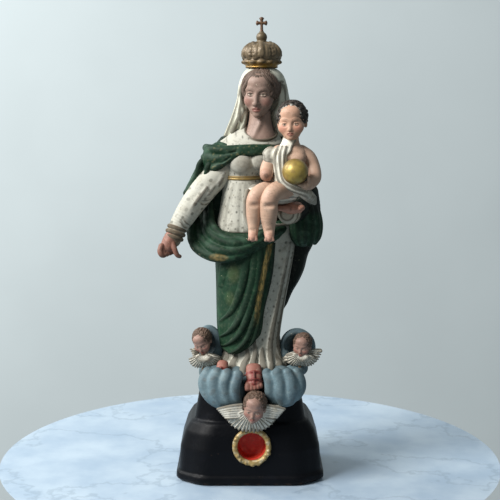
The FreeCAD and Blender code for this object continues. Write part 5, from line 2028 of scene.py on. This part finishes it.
def simple(name, base, other, rough, metal=0.0, size=3.0):
    """A plain finish that wanders between two colours."""
    s = Shader(name)
    s.wire(s.surface.inputs["Base Color"], s.mix(s.ramp(s.noise(size), 0.3, 0.7), base, other))
    s.surface.inputs["Roughness"].default_value = rough
    s.surface.inputs["Metallic"].default_value = metal
    return s.material


MATERIALS = {
    "flesh": painted(
        "old_flesh_paint", under=srgb(196, 176, 156), dirt_and_shade_strength=0.55, chips=0.25, rub=0.35, rough=0.52,
        gloss=0.35, grain=0.7,
    ),
    "hair": painted(
        "old_hair_paint", under=srgb(150, 132, 116), dirt_and_shade_strength=0.7, chips=0.3, rub=0.5, rough=0.6,
        grain=0.8,
    ),
    "white": painted(
        "old_white_paint", under=srgb(150, 140, 120), dirt_and_shade_strength=1.7, chips=0.3, rub=0.3, rough=0.68,
        fade=0.7, dirt_and_shade_colour=srgb(74, 66, 54),
    ),
    "green": painted(
        "old_green_paint", under=srgb(176, 178, 150), dirt_and_shade_strength=0.9, chips=0.1, rub=0.36, rough=0.58,
        gloss=0.22, fade=0.4, dirt_and_shade_colour=srgb(12, 22, 15),
    ),
    "blue": painted(
        "old_cloud_paint", under=srgb(170, 174, 166), dirt_and_shade_strength=0.6, chips=0.15, rub=0.35, rough=0.6,
        dirt_and_shade_colour=srgb(44, 50, 52),
    ),
    "black": painted(
        "old_black_paint", under=srgb(16, 16, 20), dirt_and_shade_strength=0.2, chips=0.0, rub=0.2, rough=0.42,
        gloss=0.12, grain=0.6, fade=0.3, dirt_and_shade_colour=srgb(6, 6, 8),
    ),
    "red": painted(
        "old_red_paint", under=srgb(190, 110, 84), dirt_and_shade_strength=0.35, chips=0.2, rub=0.3, rough=0.5,
        dirt_and_shade_colour=srgb(52, 16, 12),
    ),
    "gold": painted(
        "old_gilding", under=srgb(176, 158, 120), dirt_and_shade_strength=0.7, chips=0.35, rub=0.4, rough=0.46,
        gloss=0.5, dirt_and_shade_colour=srgb(66, 50, 28),
    ),
    "crown": painted(
        "old_brass", under=srgb(140, 118, 78), dirt_and_shade_strength=0.85, chips=0.05, rub=0.45, rough=0.5, gloss=0.5,
        dirt_and_shade_colour=srgb(34, 28, 22),
    ),
    "wood": simple("dowel_wood_finish", srgb(150, 116, 80), srgb(126, 94, 62), 0.7),
    "metal": simple("pin_metal_finish", srgb(120, 112, 100), srgb(96, 90, 82), 0.45, 0.9),
}


# ---------------------------------------------------------------- the whole object
pedestal()
relic()
cloud_bank()
cloud_lobes()
cloud_hood("right", 1, 0.75, 3.0, (1.0, 1.0, 1.0))
cloud_hood("left", -1, 0.95, -1.0, (1.16, 1.0, 1.04))
cherubs()
tunic_skirt()
mantle_apron()
mantle_back()
tunic_bodice()
belt()
yoke()
mantle_shoulders()
mantle_cape_right()
mantle_swag()
right_sleeve()
right_cuff()
right_hand()
left_sleeve()
mantle_fall_left()
left_cuff()
left_hand()
feet()
mother_neck()
mother_head()
veil()
child_torso()
child_arms()
child_legs()
child_cloth()
orb()
child_head()
crown_band()
crown_cap()
crown_leaves()
crown_ball()
crown_cross()
plain_pieces()


# ---------------------------------------------------------------- stage, camera and light
def stage_plane(name, points, material):
    """A flat piece of the surroundings, from its corners."""
    data = bpy.data.meshes.new(name)
    data.from_pydata(points, [], [list(range(len(points)))])
    plane = bpy.data.objects.new(name, data)
    bpy.context.scene.collection.objects.link(plane)
    data.materials.append(material)
    return plane


def marble():
    """The veined stone of the table."""
    s = Shader("table_marble")
    cloudy = s.noise(60, 5, 0.6)
    vein = s.ramp(s.math("ABSOLUTE", s.math("SUBTRACT", s.noise(90, 6, 0.55, 3.0), 0.5)), 0.02, 0.0)
    colour = s.mix(s.ramp(cloudy, 0.3, 0.7), srgb(176, 192, 206), srgb(150, 170, 190))
    colour = s.mix(s.math("MULTIPLY", vein, 0.35), colour, srgb(110, 130, 148))
    s.wire(s.surface.inputs["Base Color"], colour)
    s.surface.inputs["Roughness"].default_value = 0.35
    return s.material


def table_and_wall():
    """The round table top and the wall behind it."""
    rim = [
        (0.229 * math.cos(t), 0.036 + 0.229 * math.sin(t), 0.0)
        for t in np.linspace(0, 2 * math.pi, 129)[:-1]
    ]
    stage_plane("table_top", rim, marble())
    wall = simple("wall_paint", srgb(190, 198, 200), srgb(186, 194, 196), 0.9, size=300)
    stage_plane("wall", [(-5, 1.6, -3), (5, 1.6, -3), (5, 1.6, 4), (-5, 1.6, 4)], wall)


def area_light(name, at, target, size, watts, colour):
    """A square lamp aimed at a place."""
    data = bpy.data.lights.new(name, "AREA")
    data.size = size
    data.energy = watts
    data.color = colour
    lamp = bpy.data.objects.new(name, data)
    lamp.location = at
    way = np.array(target) - np.array(at)
    lamp.rotation_euler = (
        math.acos(-way[2] / np.linalg.norm(way)), 0, math.atan2(way[1], way[0]) - math.pi / 2,
    )
    bpy.context.scene.collection.objects.link(lamp)


def camera():
    """The camera, level with the mother's forehead and pitched down."""
    data = bpy.data.cameras.new("camera")
    data.lens = 86.84
    data.sensor_width = 36.0
    eye = bpy.data.objects.new("camera", data)
    eye.location = (0, -1.050, 0.3466)
    eye.rotation_euler = (math.radians(90 - 8.02), 0, 0)
    bpy.context.scene.collection.objects.link(eye)
    bpy.context.scene.camera = eye


def daylight():
    """Window light from the upper left, and a dim room."""
    world = bpy.data.worlds.new("room")
    world.use_nodes = True
    world.node_tree.nodes["Background"].inputs["Color"].default_value = (0.62, 0.72, 0.76, 1)
    world.node_tree.nodes["Background"].inputs["Strength"].default_value = 0.34
    bpy.context.scene.world = world
    area_light("window", (-1.9, -1.15, 1.9), (0, 0, 0.2), 1.3, 132, (1.0, 0.99, 0.97))
    area_light("wall_wash", (-1.5, 0.5, 1.1), (0.0, 1.6, 0.3), 0.9, 24, (0.97, 1.0, 1.0))
    bpy.context.scene.view_settings.view_transform = "Standard"


table_and_wall()
camera()
daylight()
